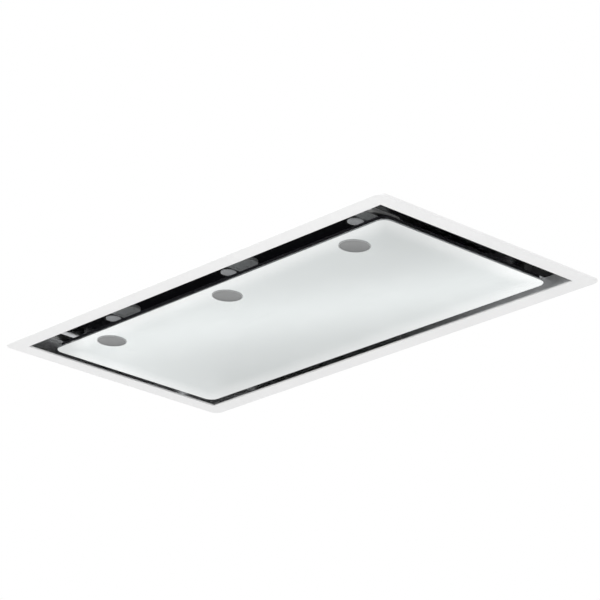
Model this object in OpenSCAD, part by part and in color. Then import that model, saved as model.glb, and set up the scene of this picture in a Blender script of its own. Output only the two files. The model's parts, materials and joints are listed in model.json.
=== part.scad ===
// Ceiling range hood with a perimeter suction slot.
// Millimetres. X runs along the long side, Y from the hinge side to the catch side, Z up.
// The origin is the centre of the opening in the ceiling's lower surface.

/* [Frame] */
// Length of the frame along the long side
frame_w = 1000; // [960:5:1200]
// Depth of the frame
frame_d = 500; // [490:2:560]
// Width of the flat flange that shows under the ceiling
flange_w = 33; // [30:0.5:45]
// Height of the folded flange
flange_t = 3; // [2.5:0.5:8]
// Radius of the outer corners of the frame
frame_corner_r = 16; // [4:0.5:30]
// Sheet of the frame
frame_sheet = 1.2; // [0.8:0.1:2]
// Thickness of the foam seal above the flange's channel
seal_squeeze = 0.3; // [0.1:0.1:1]

/* [Recess] */
// Height of the polished recess above the ceiling line
recess_h = 22; // [21:0.5:40]
// Sheet of the recess pan
pan_sheet = 1.2; // [0.8:0.1:2]
// Width of the foot that the pan stands on
pan_foot = 8; // [5:0.5:10]

/* [Panel] */
// Suction gap along each short side
gap_short = 29; // [24:0.5:40]
// Suction gap along the hinge side
gap_hinge = 34.5; // [32:0.5:42]
// Suction gap along the catch side
gap_catch = 29.5; // [24:0.5:40]
// Height of the panel's folded edge
skin_t = 3; // [2.5:0.5:5]
// Sheet of the panel's skin
skin_sheet = 1.2; // [1:0.1:1.5]
// Drop of the panel below the face of the frame
panel_drop = 4; // [3:0.5:8]
// Corner radius of the panel
panel_corner_r = 18; // [8:0.5:25]
// Chamfer round the lower edge of the skin
skin_chamfer = 0.6; // [0.2:0.1:1]
// Inset of the backing tray from the panel's edge
tray_inset = 6; // [4:0.5:8]
// Height of the backing tray
tray_h = 9; // [8:0.5:11]
// Sheet of the backing tray
tray_sheet = 1.2; // [0.8:0.1:1.6]

/* [Lamps] */
// Distance of the outer lamps from the panel's ends
lamp_inset = 116.5; // [113:0.5:230]
// Distance from the panel's edge to the lamp centres
lamp_edge = 43; // [40:0.5:48]
// Diameter of the lamp's bezel
lamp_d = 53; // [45:0.5:58]
// Width of the bezel's lip
bezel_lip = 1.7; // [1.2:0.1:3]
// Diameter of the lamp's heat sink
sink_d = 27.4; // [22:0.2:32]
// Height of the heat sink above the tray
sink_rise = 4; // [3.5:0.5:6]
// Length of each lamp driver
driver_l = 56; // [45:1:64]
// Width of each lamp driver
driver_w = 32; // [24:1:36]
// Height of each lamp driver
driver_h = 5; // [4:0.5:8]

/* [Hinge] */
// Distance of each hinge from the panel's end
hinge_inset = 21; // [20:1:60]
// Distance from the recess wall to the hinge axis
axis_gap = 12; // [10:0.5:14]
// Height of the hinge axis above the ceiling line
axis_z = 12; // [11.5:0.1:12.5]
// Diameter of the hinge arm
arm_d = 12; // [10:0.5:12.5]
// Length of the hinge arm from its axis
arm_l = 70; // [60:1:85]
// Diameter of the hinge pin
pin_d = 5; // [4:0.5:6]
// Sheet of the hinge bracket
ear_t = 2; // [1.5:0.1:2.5]
// Radial play of a turning or sliding fit
fit_play = 0.05; // [0.02:0.01:0.09]
// Play between parts that move past each other
side_play = 0.3; // [0.2:0.05:0.4]

/* [Catch] */
// Distance of each magnetic catch from the panel's end
catch_inset = 21; // [20:1:60]
// Distance of the catch from the panel's free edge
catch_edge = 37; // [30:0.5:45]
// Length of the catch
catch_l = 36; // [28:1:40]
// Width of the catch
catch_w = 18; // [14:1:22]

/* [Filters] */
// Distance from the recess wall to the first filter
filter_side = 76; // [70:1:100]
// Depth of one filter
filter_d = 282; // [240:1:290]
// Thickness of a filter
filter_t = 9; // [8:0.5:14]
// Sheet of the filter's frame
filter_sheet = 1.2; // [0.8:0.1:1.5]
// Width of the channel round the filter
filter_rail = 14; // [10:0.5:18]
// Width of the bar between two filters
window_bar = 16; // [14:0.5:20]
// Distance from the recess wall to the filter windows
window_edge = 105; // [104:0.5:112]
// Spacing of the grease baffles
baffle_pitch = 28; // [24:0.5:34]
// Width of one baffle
baffle_w = 18; // [15:0.5:22]
// Height of one baffle's side
baffle_h = 4.2; // [3.5:0.1:5]
// Sheet of a baffle
baffle_sheet = 0.8; // [0.6:0.1:1]
// Travel of the filter latch
latch_travel = 6; // [5:0.5:7]
// Width of the latch's finger grip
latch_w = 44; // [36:1:60]

/* [Plenum] */
// Inset of the plenum from the frame's outer edge
plenum_inset = 22; // [20:0.5:24]
// Galvanised sheet of the plenum and the motor housing
box_sheet = 1.5; // [1:0.1:2]

/* [Blower] */
// Outer diameter of the fan wheel
wheel_d = 240; // [200:2:244]
// Depth of the blades, from the outside in
blade_depth = 20.5; // [16:0.5:24]
// Number of blades
blade_count = 36; // [24:1:44]
// Thickness of a blade
blade_t = 1.2; // [0.8:0.1:1.6]
// Setback of the blades from the rings' edges
blade_inset = 0.8; // [0.5:0.1:1.5]
// Radius of a blade's curve
blade_r = 16; // [15:0.5:22]
// Gap between the wheel and the scroll's tongue
tongue_gap = 10; // [8:0.5:14]
// Growth of the scroll's radius over one turn
scroll_growth = 84; // [70:1:86]
// Height of the scroll
scroll_h = 158; // [157:1:166]
// Wall of the scroll
scroll_wall = 2; // [1.5:0.1:3]
// Distance of the fan axis from the middle, towards the catch side
fan_y = 21; // [18:0.5:24]
// Diameter of the motor
motor_d = 100; // [90:1:104]
// Height of the rubber bushes under the motor plate
bush_h = 8; // [6:0.5:10]
// Diameter of the motor shaft
shaft_d = 8; // [6:0.5:10]
// Radius of the circle of the motor's bolts
motor_bolt_r = 66; // [64:0.5:70]

/* [Motor housing] */
// Height of the whole hood above the ceiling line
total_h = 300; // [292:1:330]
// Gap between the motor's cap and the housing's lid
lid_gap = 12; // [8:0.5:20]
// Width of the housing's foot flange
foot_w = 12; // [10:0.5:14]
// Depth of the lid's skirt
lid_skirt = 12; // [10:0.5:16]

/* [Outlet] */
// Outer diameter of the duct spigot
spigot_d = 149; // [145:1:149]
// Length of the duct spigot
spigot_l = 68; // [60:1:90]
// Wall of the spigot
spigot_wall = 1.5; // [1.2:0.1:2]
// Thickness of a non-return flap
flap_t = 1.5; // [1:0.1:2]
// Diameter of the flap pin
flap_pin_d = 3; // [2.5:0.5:4]

/* [Hanging brackets] */
// Distance of each hanging bracket from the plenum's end
bracket_inset = 78; // [48:2:160]
// Width of a bracket
bracket_w = 44; // [38:1:60]
// Width of the slot for the hanging rod
slot_w = 9; // [7:0.5:11]
// Length of the slot for the hanging rod
slot_l = 28; // [20:1:32]
// Height of the bracket's shelf above the plenum
shelf_rise = 18; // [14:1:30]
// Sheet of a bracket
bracket_t = 2; // [1.5:0.1:3]

/* [Electronics] */
// Length of the electronics box
case_w = 190; // [180:1:210]
// Depth of the electronics box
case_d = 160; // [150:1:180]
// Height of the electronics box
case_h = 56; // [52:1:70]
// Diameter of the cable hole in the gland
cable_d = 9; // [7:0.5:10]

/* [Hidden] */
$fn = 64;

// Frame and recess
half_w = frame_w / 2;
half_d = frame_d / 2;
open_w = half_w - flange_w;
open_d = half_d - flange_w;
face_z = -flange_t;
seat_lip = 0.5;
seat_w = flange_w - plenum_inset + box_sheet + seat_lip;
pan_top = recess_h + pan_sheet;
fold_r = 0.8;
least_r = 0.5;
rib_inset = 2;
rib_rise = 5;

// Panel
panel_low = face_z - panel_drop;
skin_top = panel_low + skin_t;
tray_top = skin_top + tray_h;
panel_w = 2 * (open_w - gap_short);
panel_near = gap_hinge - open_d;
panel_far = open_d - gap_catch;
panel_d = panel_far - panel_near;
panel_mid = (panel_far + panel_near) / 2;
hem_cover = 1.5;
hem_w = tray_inset + tray_sheet + hem_cover;
tray_corner_r = panel_corner_r - 5;
tray_w = panel_w - 2 * tray_inset;
tray_d = panel_d - 2 * tray_inset;

// Lamps
lamp_y = panel_near + lamp_edge;
lamp_pitch = panel_w / 2 - lamp_inset;
lamp_xs = [-lamp_pitch, 0, lamp_pitch];
lamp_r = lamp_d / 2;
lens_r = lamp_r - bezel_lip;
sleeve_t = 0.8;
lamp_play = 0.2;
lens_depth = 2;
lens_ledge = panel_low + lens_depth;
lens_play = 0.1;
lens_dish = 0.8;
ledge_t = 0.8;
ledge_w = 1.8;
lip_t = 0.8;
sleeve_h = skin_t + 3;
sink_r = sink_d / 2;
nut_t = 3;
nut_wall = 4.5;
nut_r = sink_r + nut_wall;
driver_gap = 2;
driver_shift = -6;
driver_rim = 6;

// Hinge and catch
hinge_x = panel_w / 2 - hinge_inset;
catch_x = panel_w / 2 - catch_inset;
axis_y = axis_gap - open_d;
arm_r = arm_d / 2;
barrel_l = 15.4;
ear_y = 7;
ear_in = barrel_l / 2 + side_play;
base_w = 32;
base_d = 28;
base_back = 11;
pin_head_w = 1.5;
hinge_screw_x = 12;
hinge_screw_y = 12;
foot_l = 30;
foot_half = 13;
foot_t = 2;
foot_screw_x = foot_half - 3.6;
catch_base = 3;
catch_side = 7;
catch_y = panel_far - catch_edge;
strike_t = 1.5;
catch_low = tray_top + strike_t + side_play;
screw_d = 4;
head_d = 7;
head_h = 2.2;

// Filters
window_clear = 1;
window_w = (2 * (open_w - filter_side) - 2 * window_bar) / 3;
filter_w = window_w - 2 * window_clear;
window_d = filter_d + 2 * window_clear;
window_near = window_edge - open_d;
filter_near = window_near + window_clear;
filter_far = filter_near + filter_d;
filter_xs = [-window_w - window_bar, 0, window_w + window_bar];
filter_top = recess_h + filter_t;
latch_rail = 31;
tongue_l = 8;
tongue_t = 1.5;
slot_from = 7;
grip_d = 8;
slot_to = slot_from + grip_d + latch_travel + 8;
grip_drop = 1.5;
bolt_w = 18;
bolt_h = 3.4;
bolt_reach = 5;
guide_w = 3;
spring_r = 3;
wire_r = 0.45;
spring_turns = 6;

// Plenum
plenum_w = half_w - plenum_inset;
plenum_d = half_d - plenum_inset;
lid_t = 2;
plate_t = 2.5;
cap_h = 24;
cap_edge_r = 6;
plenum_h = total_h - box_sheet - lid_gap - cap_h - plate_t - bush_h - lid_t - scroll_h;
rib_r = 2;
bead_w = 10;
bead_rise = 1.5;
bracket_x = plenum_w - bracket_inset;
shelf_edge = 12;
gusset = 14;
leg_drop = 50;
leg_screw_z = 30;
leg_screw_x = bracket_w * 0.3;

// Blower
wheel_r = wheel_d / 2;
eye_r = wheel_r - blade_depth;
scroll_z = plenum_h;
scroll_top = scroll_z + scroll_h;
tongue_angle = -40;
tongue_r = wheel_r + tongue_gap;
scroll_steps = 44;
scroll_end_r = tongue_r + scroll_growth * (270 - tongue_angle) / 360;
exit_reach = 35;
exit_x = tongue_r + exit_reach;
exit_w = spigot_d - 1;
exit_y = exit_w - scroll_end_r;
wheel_floor_gap = 7.5;
wheel_low = scroll_z + wheel_floor_gap;
shroud_t = 2;
back_t = 1.5;
wheel_lid_gap = 10.5;
wheel_top = scroll_top - wheel_lid_gap;
cup_play = 10;
cup_r = motor_d / 2 + cup_play;
cup_t = 1.5;
cup_rise = 60;
cup_low = wheel_low + cup_rise;
floor_rim = 2.5;
bell_inset = 2;
bell_r = eye_r - bell_inset;
bell_curve = 8;
ring_t = 1.5;
ring_flange_w = 17.5;
ring_flange_r = eye_r + ring_flange_w;
motor_r = motor_d / 2;
motor_rise = 14;
motor_low = cup_low + motor_rise;
boss_h = 7;
boss_r = 14;
boss_wall = 3;
rim_h = 6;
fin_t = 2;
bolt_head = 4;
plate_z = scroll_top + lid_t + bush_h;
shaft_r = shaft_d / 2;
shaft_reach = 2;
shaft_chamfer = 1;
shaft_end_gap = 12;
shaft_end = plate_z - shaft_end_gap;
hub_drop = 12;
hub_low = cup_low - hub_drop;
hub_lift = 5;
hub_top = cup_low + hub_lift;
hub_r = 9.8;
hub_flange_w = 12;
hub_flange_t = 3;
set_screw_d = 4;
plate_rim = 4;
ear_r = 11;
cap_bore_r = 20;
motor_hole_d = 6;
bush_r = 9;
bush_neck_r = 6.5;
nut_across = 11.6;
lug_r = 8;
lug_set = 9;
lug_angles = [45, 135, 215];

// Motor housing
house_x1 = exit_x + side_play;
house_room = scroll_wall + 4;
house_x0 = -(tongue_r + scroll_growth * (180 - tongue_angle) / 360 + house_room);
house_y0 = fan_y - scroll_end_r - house_room;
house_y1 = fan_y + tongue_r + scroll_growth * (90 - tongue_angle) / 360 + house_room;
house_top = total_h - box_sheet;
house_mid = [(house_x0 + house_x1) / 2, (house_y0 + house_y1) / 2];
house_w = house_x1 - house_x0;
house_d = house_y1 - house_y0;
foot_screw_in = (foot_w + box_sheet) / 2;
lid_play = 0.3;
lid_out = box_sheet + lid_play;
groove_in = 30;
groove_w = 8;
bead_end = 20;
wire_hole_r = 8;

// Outlet
spigot_r = spigot_d / 2;
spigot_x = house_x1 + box_sheet;
spigot_y = fan_y - scroll_end_r + exit_w / 2;
spigot_z = scroll_z + scroll_h / 2;
collar_rim = 5.5;
collar_half_y = spigot_r + collar_rim;
collar_half_z = min((scroll_h - 3) / 2, spigot_r + collar_rim);
collar_t = 2;
collar_screw_in = 6;
flap_set = 18;
flap_x = spigot_x + flap_set;
flap_play = 0.6;
flap_r = spigot_r - spigot_wall - flap_play;
knuckle_wall = 1.7;
knuckle_r = flap_pin_d / 2 + knuckle_wall;
knuckle_l = 12;
knuckle_near = 12;
knuckle_far = 50;
flap_start = knuckle_r + 0.5;
flap_rib_r = 1.2;
flap_rib_z = 24;
stop_t = 3;
stop_w = 2.2;
stop_r = spigot_r - spigot_wall - stop_w;
stop_from = flap_x - flap_t / 2 - side_play - stop_t - spigot_x;

// Electronics
case_end_gap = 30;
case_x = case_end_gap - plenum_w;
case_mid = case_x + case_w / 2;
case_top = plenum_h + case_h;
case_t = 1.5;
board_rise = 8;
board_t = 1.6;
board_room_w = 74;
board_room_d = 60;
board_w = case_w - board_room_w;
board_d = case_d - board_room_d;
board_shift_x = 10;
board_shift_y = -15;
case_screw_in = 7;
case_post_r = 5;
board_post_r = 3;
wire_slot_w = 30;
wire_slot_d = 20;
capacitor_r = 17.5;
capacitor_l = 66;
gland_z = plenum_h + case_h / 2;
gland_thread_r = 8;
gland_hex_r = 12;
gland_cap_r = 10;
gland_y = 45;

// Points of an arc
function arc(c, r, from, to, steps = 5) =
    [for (i = [0:steps]) let (a = from + (to - from) * i / steps) c + r * [cos(a), sin(a)]];

// Radius of the scroll at an angle
function scroll_radius(a) = tongue_r + scroll_growth * (a - tongue_angle) / 360;

// Outline of the scroll, grown outwards by g and starting at the angle from
function scroll_points(g, from) = concat(
    [for (i = [0:scroll_steps]) let (a = from + (270 - from) * i / scroll_steps)
        (scroll_radius(a) + g) * [cos(a), sin(a)]],
    [[exit_x, -scroll_end_r - g], [exit_x, exit_y + g]]);

module rounded_rect(w, d, r) {
    square([w - 2 * r, d], center = true);
    square([w, d - 2 * r], center = true);
    for (x = [-1, 1])
        for (y = [-1, 1])
            translate([x * (w / 2 - r), y * (d / 2 - r)]) circle(r);
}

module slab(w, d, z0, z1) {
    translate([-w / 2, -d / 2, z0]) cube([w, d, z1 - z0]);
}

// Four bars with mitred corners round a rectangle, from one profile
module mitred_ring(a, b, width, reach) {
    for (side = [0:3]) {
        near = side % 2 == 0 ? a : b;
        along = side % 2 == 0 ? b : a;
        rotate([0, 0, 90 * side])
            intersection() {
                translate([near, along + width, 0])
                    rotate([90, 0, 0])
                        linear_extrude(2 * (along + width)) children();
                translate([0, 0, -reach])
                    linear_extrude(2 * reach)
                        polygon([[near, -along], [near + width, -along - width],
                                 [near + width, along + width], [near, along]]);
            }
    }
}

// Pan-head screw with its head's seat at the origin and its shank along -Z
module screw(d = screw_d, l = 8, head = head_d, rise = head_h) {
    difference() {
        union() {
            translate([0, 0, -l]) cylinder(d = d, h = l + rise / 2);
            cylinder(d1 = head, d2 = head * 0.82, h = rise);
        }
        for (a = [0, 90])
            rotate([0, 0, a]) translate([-head * 0.28, -0.5, rise * 0.4]) cube([head * 0.56, 1, rise]);
    }
}

module screw_hole(d = screw_d, l = 20) {
    translate([0, 0, -l / 2]) cylinder(d = d + 0.4, h = l);
}

// Both ends of the hood, at the given distance from the middle
module both_ends(x) {
    translate([-x, 0, 0]) children();
    translate([x, 0, 0]) children();
}

// Frame

module ceiling_frame() color("whitesmoke") {
    // Rim round the opening, on which the pan and the plenum stand
    mitred_ring(open_w, open_d, seat_w, 2 * flange_t)
        polygon(concat(
            arc([fold_r, face_z + fold_r], fold_r, 180, 270),
            [[seat_w, face_z], [seat_w, 0], [0, 0]]));
    // Flat face with its folded outer edge
    difference() {
        translate([0, 0, face_z]) chamfered_plate(frame_w, frame_d, flange_t, frame_corner_r, fold_r);
        translate([0, 0, face_z + frame_sheet]) linear_extrude(2 * flange_t) frame_outline(frame_sheet);
        slab(2 * (open_w + seat_w), 2 * (open_d + seat_w), face_z - 1, 1);
    }
}

// The frame's outline, moved inwards
module frame_outline(inset) {
    rounded_rect(frame_w - 2 * inset, frame_d - 2 * inset, max(frame_corner_r - inset, least_r));
}

module ceiling_seal() color("dimgray")
    difference() {
        translate([0, 0, face_z + frame_sheet])
            linear_extrude(flange_t - frame_sheet) frame_outline(frame_sheet + seal_squeeze);
        slab(2 * (open_w + seat_w + seal_squeeze), 2 * (open_d + seat_w + seal_squeeze), face_z, 1);
    }

// Recess

module recess_pan() color("gainsboro")
    difference() {
        union() {
            slab(2 * (open_w + pan_sheet), 2 * (open_d + pan_sheet), 0, pan_top);
            slab(2 * (open_w + pan_foot), 2 * (open_d + pan_foot), 0, pan_sheet);
            for (x = filter_xs)
                for (side = [-1, 1])
                    translate([x + side * (window_w / 2 + rib_inset), window_near + window_d / 2, 0])
                        slab(pan_sheet, window_d - 2 * filter_rail, recess_h, pan_top + rib_rise);
        }
        slab(2 * open_w, 2 * open_d, -1, recess_h);
        for (x = filter_xs)
            translate([x, window_near + window_d / 2, 0]) slab(window_w, window_d, 0, pan_top + 1);
        both_ends(hinge_x) hinge_screw_places() screw_hole();
        both_ends(catch_x) catch_screw_places() screw_hole(3);
    }

// Plenum

module plenum_walls() color("lightsteelblue")
    difference() {
        union() {
            slab(2 * plenum_w, 2 * plenum_d, 0, plenum_h - box_sheet);
            plenum_ribs();
        }
        slab(2 * (plenum_w - box_sheet), 2 * (plenum_d - box_sheet), -1, plenum_h);
        bracket_screw_places() screw_hole();
        plenum_screw_places() screw_hole(3);
    }

// Pressed ribs that stiffen the plenum's long walls
module plenum_ribs() {
    for (y = [-1, 1])
        for (x = [-2, -1, 0, 1, 2])
            translate([x * plenum_w * 0.36, y * plenum_d, plenum_h * 0.25])
                cylinder(r = rib_r, h = plenum_h * 0.5);
}

module plenum_top() color("lightsteelblue")
    difference() {
        union() {
            slab(2 * plenum_w, 2 * plenum_d, plenum_h - box_sheet, plenum_h);
            plenum_beads();
        }
        translate([0, fan_y, 0]) cylinder(r = eye_r + 2, h = plenum_h + 1);
        scroll_screw_places() screw_hole();
        housing_screw_places() screw_hole();
        translate([case_mid + case_w / 4, 0, plenum_h])
            slab(wire_slot_w, wire_slot_d, -2 * box_sheet, 2 * box_sheet);
    }

// Pressed bead along X on a sheet at z = 0
module bead(l) {
    linear_extrude(bead_rise / 2) stadium(l, bead_w);
    linear_extrude(bead_rise) stadium(l - 3, bead_w - 3);
}

module stadium(l, w) {
    square([l - w, w], center = true);
    for (x = [-1, 1])
        translate([x * (l - w) / 2, 0]) circle(d = w);
}

module plenum_beads() {
    right_l = plenum_w - house_x1 - foot_w - 2 * bracket_t - 60;
    for (y = [-0.3, 0.05, 0.4])
        translate([plenum_w - 36 - right_l / 2, y * plenum_d, plenum_h]) bead(right_l);
    side_y = (case_d / 2 + plenum_d - slot_w - 2 * shelf_edge) / 2;
    for (y = [-side_y, side_y])
        translate([case_mid, y, plenum_h]) bead(case_w);
}

// The plenum is screwed to the pan's walls at its two ends
module plenum_screw_places() {
    for (side = [-1, 1])
        for (y = [-1, 0, 1])
            translate([side * plenum_w, y * plenum_d * 0.7, recess_h / 2])
                rotate([0, side * 90, 0]) children();
}

module body_screws() color("silver") {
    both_ends(hinge_x) hinge_screw_places() screw(l = ear_t + pan_sheet + 4);
    plenum_screw_places() screw(3, box_sheet + pan_foot - 2, 6, 1.8);
    bracket_screw_places() screw(l = bracket_t + box_sheet + 4);
}

// Hanging brackets

module hanging_bracket() {
    shelf_y = bracket_t - slot_w - shelf_edge;
    shelf_z = plenum_h + shelf_rise;
    difference() {
        union() {
            translate([0, bracket_t / 2, 0]) slab(bracket_w, bracket_t, plenum_h - leg_drop, shelf_z);
            translate([0, shelf_y, 0])
                slab(bracket_w, 2 * (slot_w + shelf_edge), shelf_z - bracket_t, shelf_z);
            for (side = [-1, 1])
                translate([side * (bracket_w / 2 - bracket_t / 2), 0, shelf_z - bracket_t])
                    rotate([90, 0, 90])
                        translate([0, 0, -bracket_t / 2])
                            linear_extrude(bracket_t) polygon([[0, 0], [-gusset, 0], [0, -gusset]]);
        }
        translate([0, shelf_y, plenum_h])
            for (side = [-1, 1])
                translate([side * (slot_l - slot_w) / 2, 0, 0]) cylinder(d = slot_w, h = 2 * shelf_rise);
        translate([0, shelf_y, 0]) slab(slot_l - slot_w, slot_w, plenum_h, plenum_h + 2 * shelf_rise);
        leg_screw_places() screw_hole();
    }
}

module leg_screw_places() {
    for (side = [-1, 1])
        translate([side * leg_screw_x, bracket_t, plenum_h - leg_screw_z]) rotate([-90, 0, 0]) children();
}

module at_brackets() {
    for (side = [-1, 1])
        for (x = [-1, 1])
            translate([x * bracket_x, side * plenum_d, 0]) rotate([0, 0, side > 0 ? 0 : 180]) children();
}

module bracket_screw_places() {
    at_brackets() leg_screw_places() children();
}

module hanging_brackets() color("silver") at_brackets() hanging_bracket();

// Filters

module latch_slot(play) {
    w = latch_w / 2 + play;
    translate([0, filter_near + (slot_from + slot_to) / 2, 0])
        slab(2 * w, slot_to - slot_from, recess_h - 1, filter_top + 1);
    translate([0, filter_near + (slot_from + slot_to) / 2, 0])
        slab(2 * (w + guide_w), slot_to - slot_from, recess_h + 2.7, recess_h + 5.3 + 2 * play);
}

// Channel of folded sheet, open towards the baffles
module filter_channel() {
    polygon([[0, recess_h], [filter_rail, recess_h], [filter_rail, filter_top], [0, filter_top],
             [0, filter_top - filter_sheet],
             [filter_rail - filter_sheet, filter_top - filter_sheet],
             [filter_rail - filter_sheet, recess_h + filter_sheet],
             [0, recess_h + filter_sheet]]);
}

module filter_frame() {
    inner_w = filter_w / 2 - filter_rail;
    inner_d = filter_d / 2 - filter_rail;
    difference() {
        union() {
            translate([0, filter_near + filter_d / 2, 0])
                mitred_ring(inner_w, inner_d, filter_rail, 2 * filter_top) filter_channel();
            translate([0, filter_near + latch_rail / 2, 0])
                slab(filter_w, latch_rail, recess_h, recess_h + filter_sheet);
            translate([0, filter_near + latch_rail / 2, 0])
                slab(latch_w + 24, latch_rail, recess_h, filter_top);
            for (side = [-1, 1])
                translate([side * filter_w * 0.3, filter_far + (tongue_l - filter_sheet) / 2, 0])
                    slab(20, tongue_l + filter_sheet, pan_top, pan_top + tongue_t);
        }
        latch_slot(side_play);
        translate([0, filter_near, 0])
            slab(bolt_w + 2 * side_play, 2 * slot_from + 1, pan_top, pan_top + bolt_h + 2 * side_play);
    }
}

module trough(l) {
    rotate([-90, 0, 0])
        linear_extrude(l)
            polygon([[-baffle_w / 2, 0], [baffle_w / 2, 0], [baffle_w / 2, -baffle_h],
                     [baffle_w / 2 - baffle_sheet, -baffle_h], [baffle_w / 2 - baffle_sheet, -baffle_sheet],
                     [-baffle_w / 2 + baffle_sheet, -baffle_sheet], [-baffle_w / 2 + baffle_sheet, -baffle_h],
                     [-baffle_w / 2, -baffle_h]]);
}

module filter_baffles() {
    count = floor((filter_w - 2 * filter_sheet - baffle_w) / baffle_pitch / 2);
    l = filter_d - latch_rail - filter_sheet;
    for (i = [-count:count])
        translate([i * baffle_pitch, filter_near + latch_rail, recess_h + filter_sheet]) trough(l);
    for (i = [-count:count - 1])
        translate([(i + 0.5) * baffle_pitch, filter_near + latch_rail, filter_top - filter_sheet])
            mirror([0, 0, 1]) trough(l);
}

module filter_latch() {
    grip_y = filter_near + slot_from + side_play;
    difference() {
        union() {
            translate([0, grip_y + grip_d / 2, 0])
                slab(latch_w, grip_d, recess_h - grip_drop, filter_top - 1);
            translate([0, grip_y + grip_d / 2, 0])
                slab(latch_w + 2 * guide_w, grip_d, recess_h + 3, recess_h + 5.3);
            translate([0, filter_near - bolt_reach, pan_top + side_play])
                rotate([90, 0, 90])
                    translate([0, 0, -bolt_w / 2])
                        linear_extrude(bolt_w)
                            polygon([[0, bolt_h - 1.4], [2.2, 0], [bolt_reach + slot_from + 2, 0],
                                     [bolt_reach + slot_from + 2, bolt_h], [0, bolt_h]]);
        }
        translate([0, grip_y + grip_d / 2, recess_h - 6])
            rotate([0, 90, 0]) translate([0, 0, -latch_w / 2 + 4]) cylinder(r = 6.5, h = latch_w - 8);
    }
}

// Ring of the spring's wire at an angle along the helix
function spring_ring(a, pitch) =
    [for (s = [0:5]) let (b = 60 * s, r = spring_r + wire_r * cos(b))
        [r * cos(a), a / 360 * pitch + wire_r * sin(b), r * sin(a)]];

// The two triangles between a point of one ring and the next ring
function wire_faces(a, b) = [[a, a + 6, b], [b, a + 6, b + 6]];

module latch_spring() {
    from = filter_near + slot_from + side_play + grip_d;
    to = filter_near + slot_to;
    pitch = (to - from - 2 * wire_r) / spring_turns;
    rings = spring_turns * 12;
    points = [for (i = [0:rings]) each spring_ring(i * 30, pitch)];
    faces = concat(
        [[for (s = [0:5]) s]],
        [for (i = [0:rings - 1]) for (s = [0:5]) each wire_faces(6 * i + s, 6 * i + (s + 1) % 6)],
        [[for (s = [5:-1:0]) 6 * rings + s]]);
    translate([0, from + wire_r, recess_h + filter_t / 2]) polyhedron(points, faces);
}

// Hinges

module hinge_screw_places() {
    for (side = [-1, 1])
        translate([side * hinge_screw_x, axis_y + hinge_screw_y, recess_h - ear_t])
            rotate([180, 0, 0]) children();
}

module hinge_brackets() color("gainsboro")
    both_ends(hinge_x)
        difference() {
            union() {
                translate([0, axis_y + base_d / 2 - base_back, 0])
                    slab(base_w, base_d, recess_h - ear_t, recess_h);
                for (side = [-1, 1])
                    translate([side * (ear_in + ear_t / 2), 0, 0]) {
                        translate([0, axis_y, 0]) slab(ear_t, 2 * ear_y, axis_z, recess_h);
                        translate([-ear_t / 2, axis_y, axis_z])
                            rotate([0, 90, 0]) cylinder(r = ear_y, h = ear_t);
                    }
            }
            translate([-base_w, axis_y, axis_z]) rotate([0, 90, 0]) cylinder(d = pin_d, h = 2 * base_w);
            hinge_screw_places() screw_hole();
        }

module hinge_pins() color("silver")
    both_ends(hinge_x)
        translate([0, axis_y, axis_z])
            rotate([0, 90, 0]) {
                translate([0, 0, -ear_in - ear_t]) cylinder(d = pin_d, h = 2 * (ear_in + ear_t));
                for (side = [-1, 1])
                    translate([0, 0, side * (ear_in + ear_t + pin_head_w / 2) - pin_head_w / 2])
                        cylinder(d = pin_d + 3, h = pin_head_w);
            }

module arm_screw_places() {
    for (y = [0, 1])
        for (side = [-1, 1])
            translate([side * foot_screw_x, axis_y + arm_l - 5 - y * (foot_l - 12), tray_top + foot_t])
                children();
}

module hinge_arms() color("lightgray")
    both_ends(hinge_x)
        difference() {
            union() {
                translate([-barrel_l / 2, axis_y, axis_z])
                    rotate([0, 90, 0]) cylinder(r = arm_r, h = barrel_l);
                translate([0, axis_y, axis_z]) rotate([-90, 0, 0]) {
                    cylinder(r = arm_r, h = arm_l - 1);
                    translate([0, 0, arm_l - 1]) cylinder(r1 = arm_r, r2 = arm_r - 1, h = 1);
                }
                translate([0, axis_y + arm_l - foot_l / 2, 0]) {
                    slab(2 * foot_half, foot_l, tray_top, tray_top + foot_t);
                    slab(arm_d - 2, foot_l, tray_top, axis_z);
                }
            }
            translate([-barrel_l, axis_y, axis_z])
                rotate([0, 90, 0]) cylinder(r = pin_d / 2 + fit_play, h = 2 * barrel_l);
            translate([0, axis_y + arm_l - 4, axis_z]) rotate([-90, 0, 0]) cylinder(d = 6, h = 8);
            arm_screw_places() screw_hole(2.5);
        }

module arm_screws() color("dimgray")
    both_ends(hinge_x) {
        arm_screw_places() screw(2.5, foot_t + tray_sheet + 2, 4.6, 1.6);
        translate([0, axis_y + arm_l - 4, axis_z]) rotate([-90, 0, 0]) difference() {
            cylinder(d = 6, h = 2.4);
            translate([0, 0, 1]) cylinder(d = 3, h = 4, $fn = 6);
        }
    }

// Catches

module catch_screw_places() {
    for (side = [-1, 1])
        translate([side * (catch_l / 2 - 4), catch_y, recess_h - catch_base]) rotate([180, 0, 0]) children();
}

module catch_housings() color("white")
    both_ends(catch_x)
        difference() {
            union() {
                translate([0, catch_y, 0]) slab(catch_l, catch_w, recess_h - catch_base, recess_h);
                translate([0, catch_y, 0])
                    slab(catch_l - 2 * catch_side, catch_w, catch_low + 0.5, recess_h);
            }
            translate([0, catch_y, 0]) slab(catch_l - 18, catch_w - 5, 0, recess_h - 2);
            catch_screw_places() screw_hole(3);
        }

module catch_magnets() color("silver")
    both_ends(catch_x)
        translate([0, catch_y, 0]) {
            slab(catch_l - 18.2, catch_w - 9, catch_low + 1, recess_h - 2);
            for (side = [-1, 1])
                translate([0, side * (catch_w / 2 - 3.5), 0])
                    slab(catch_l - 18.2, 2, catch_low, recess_h - 2);
        }

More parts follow.
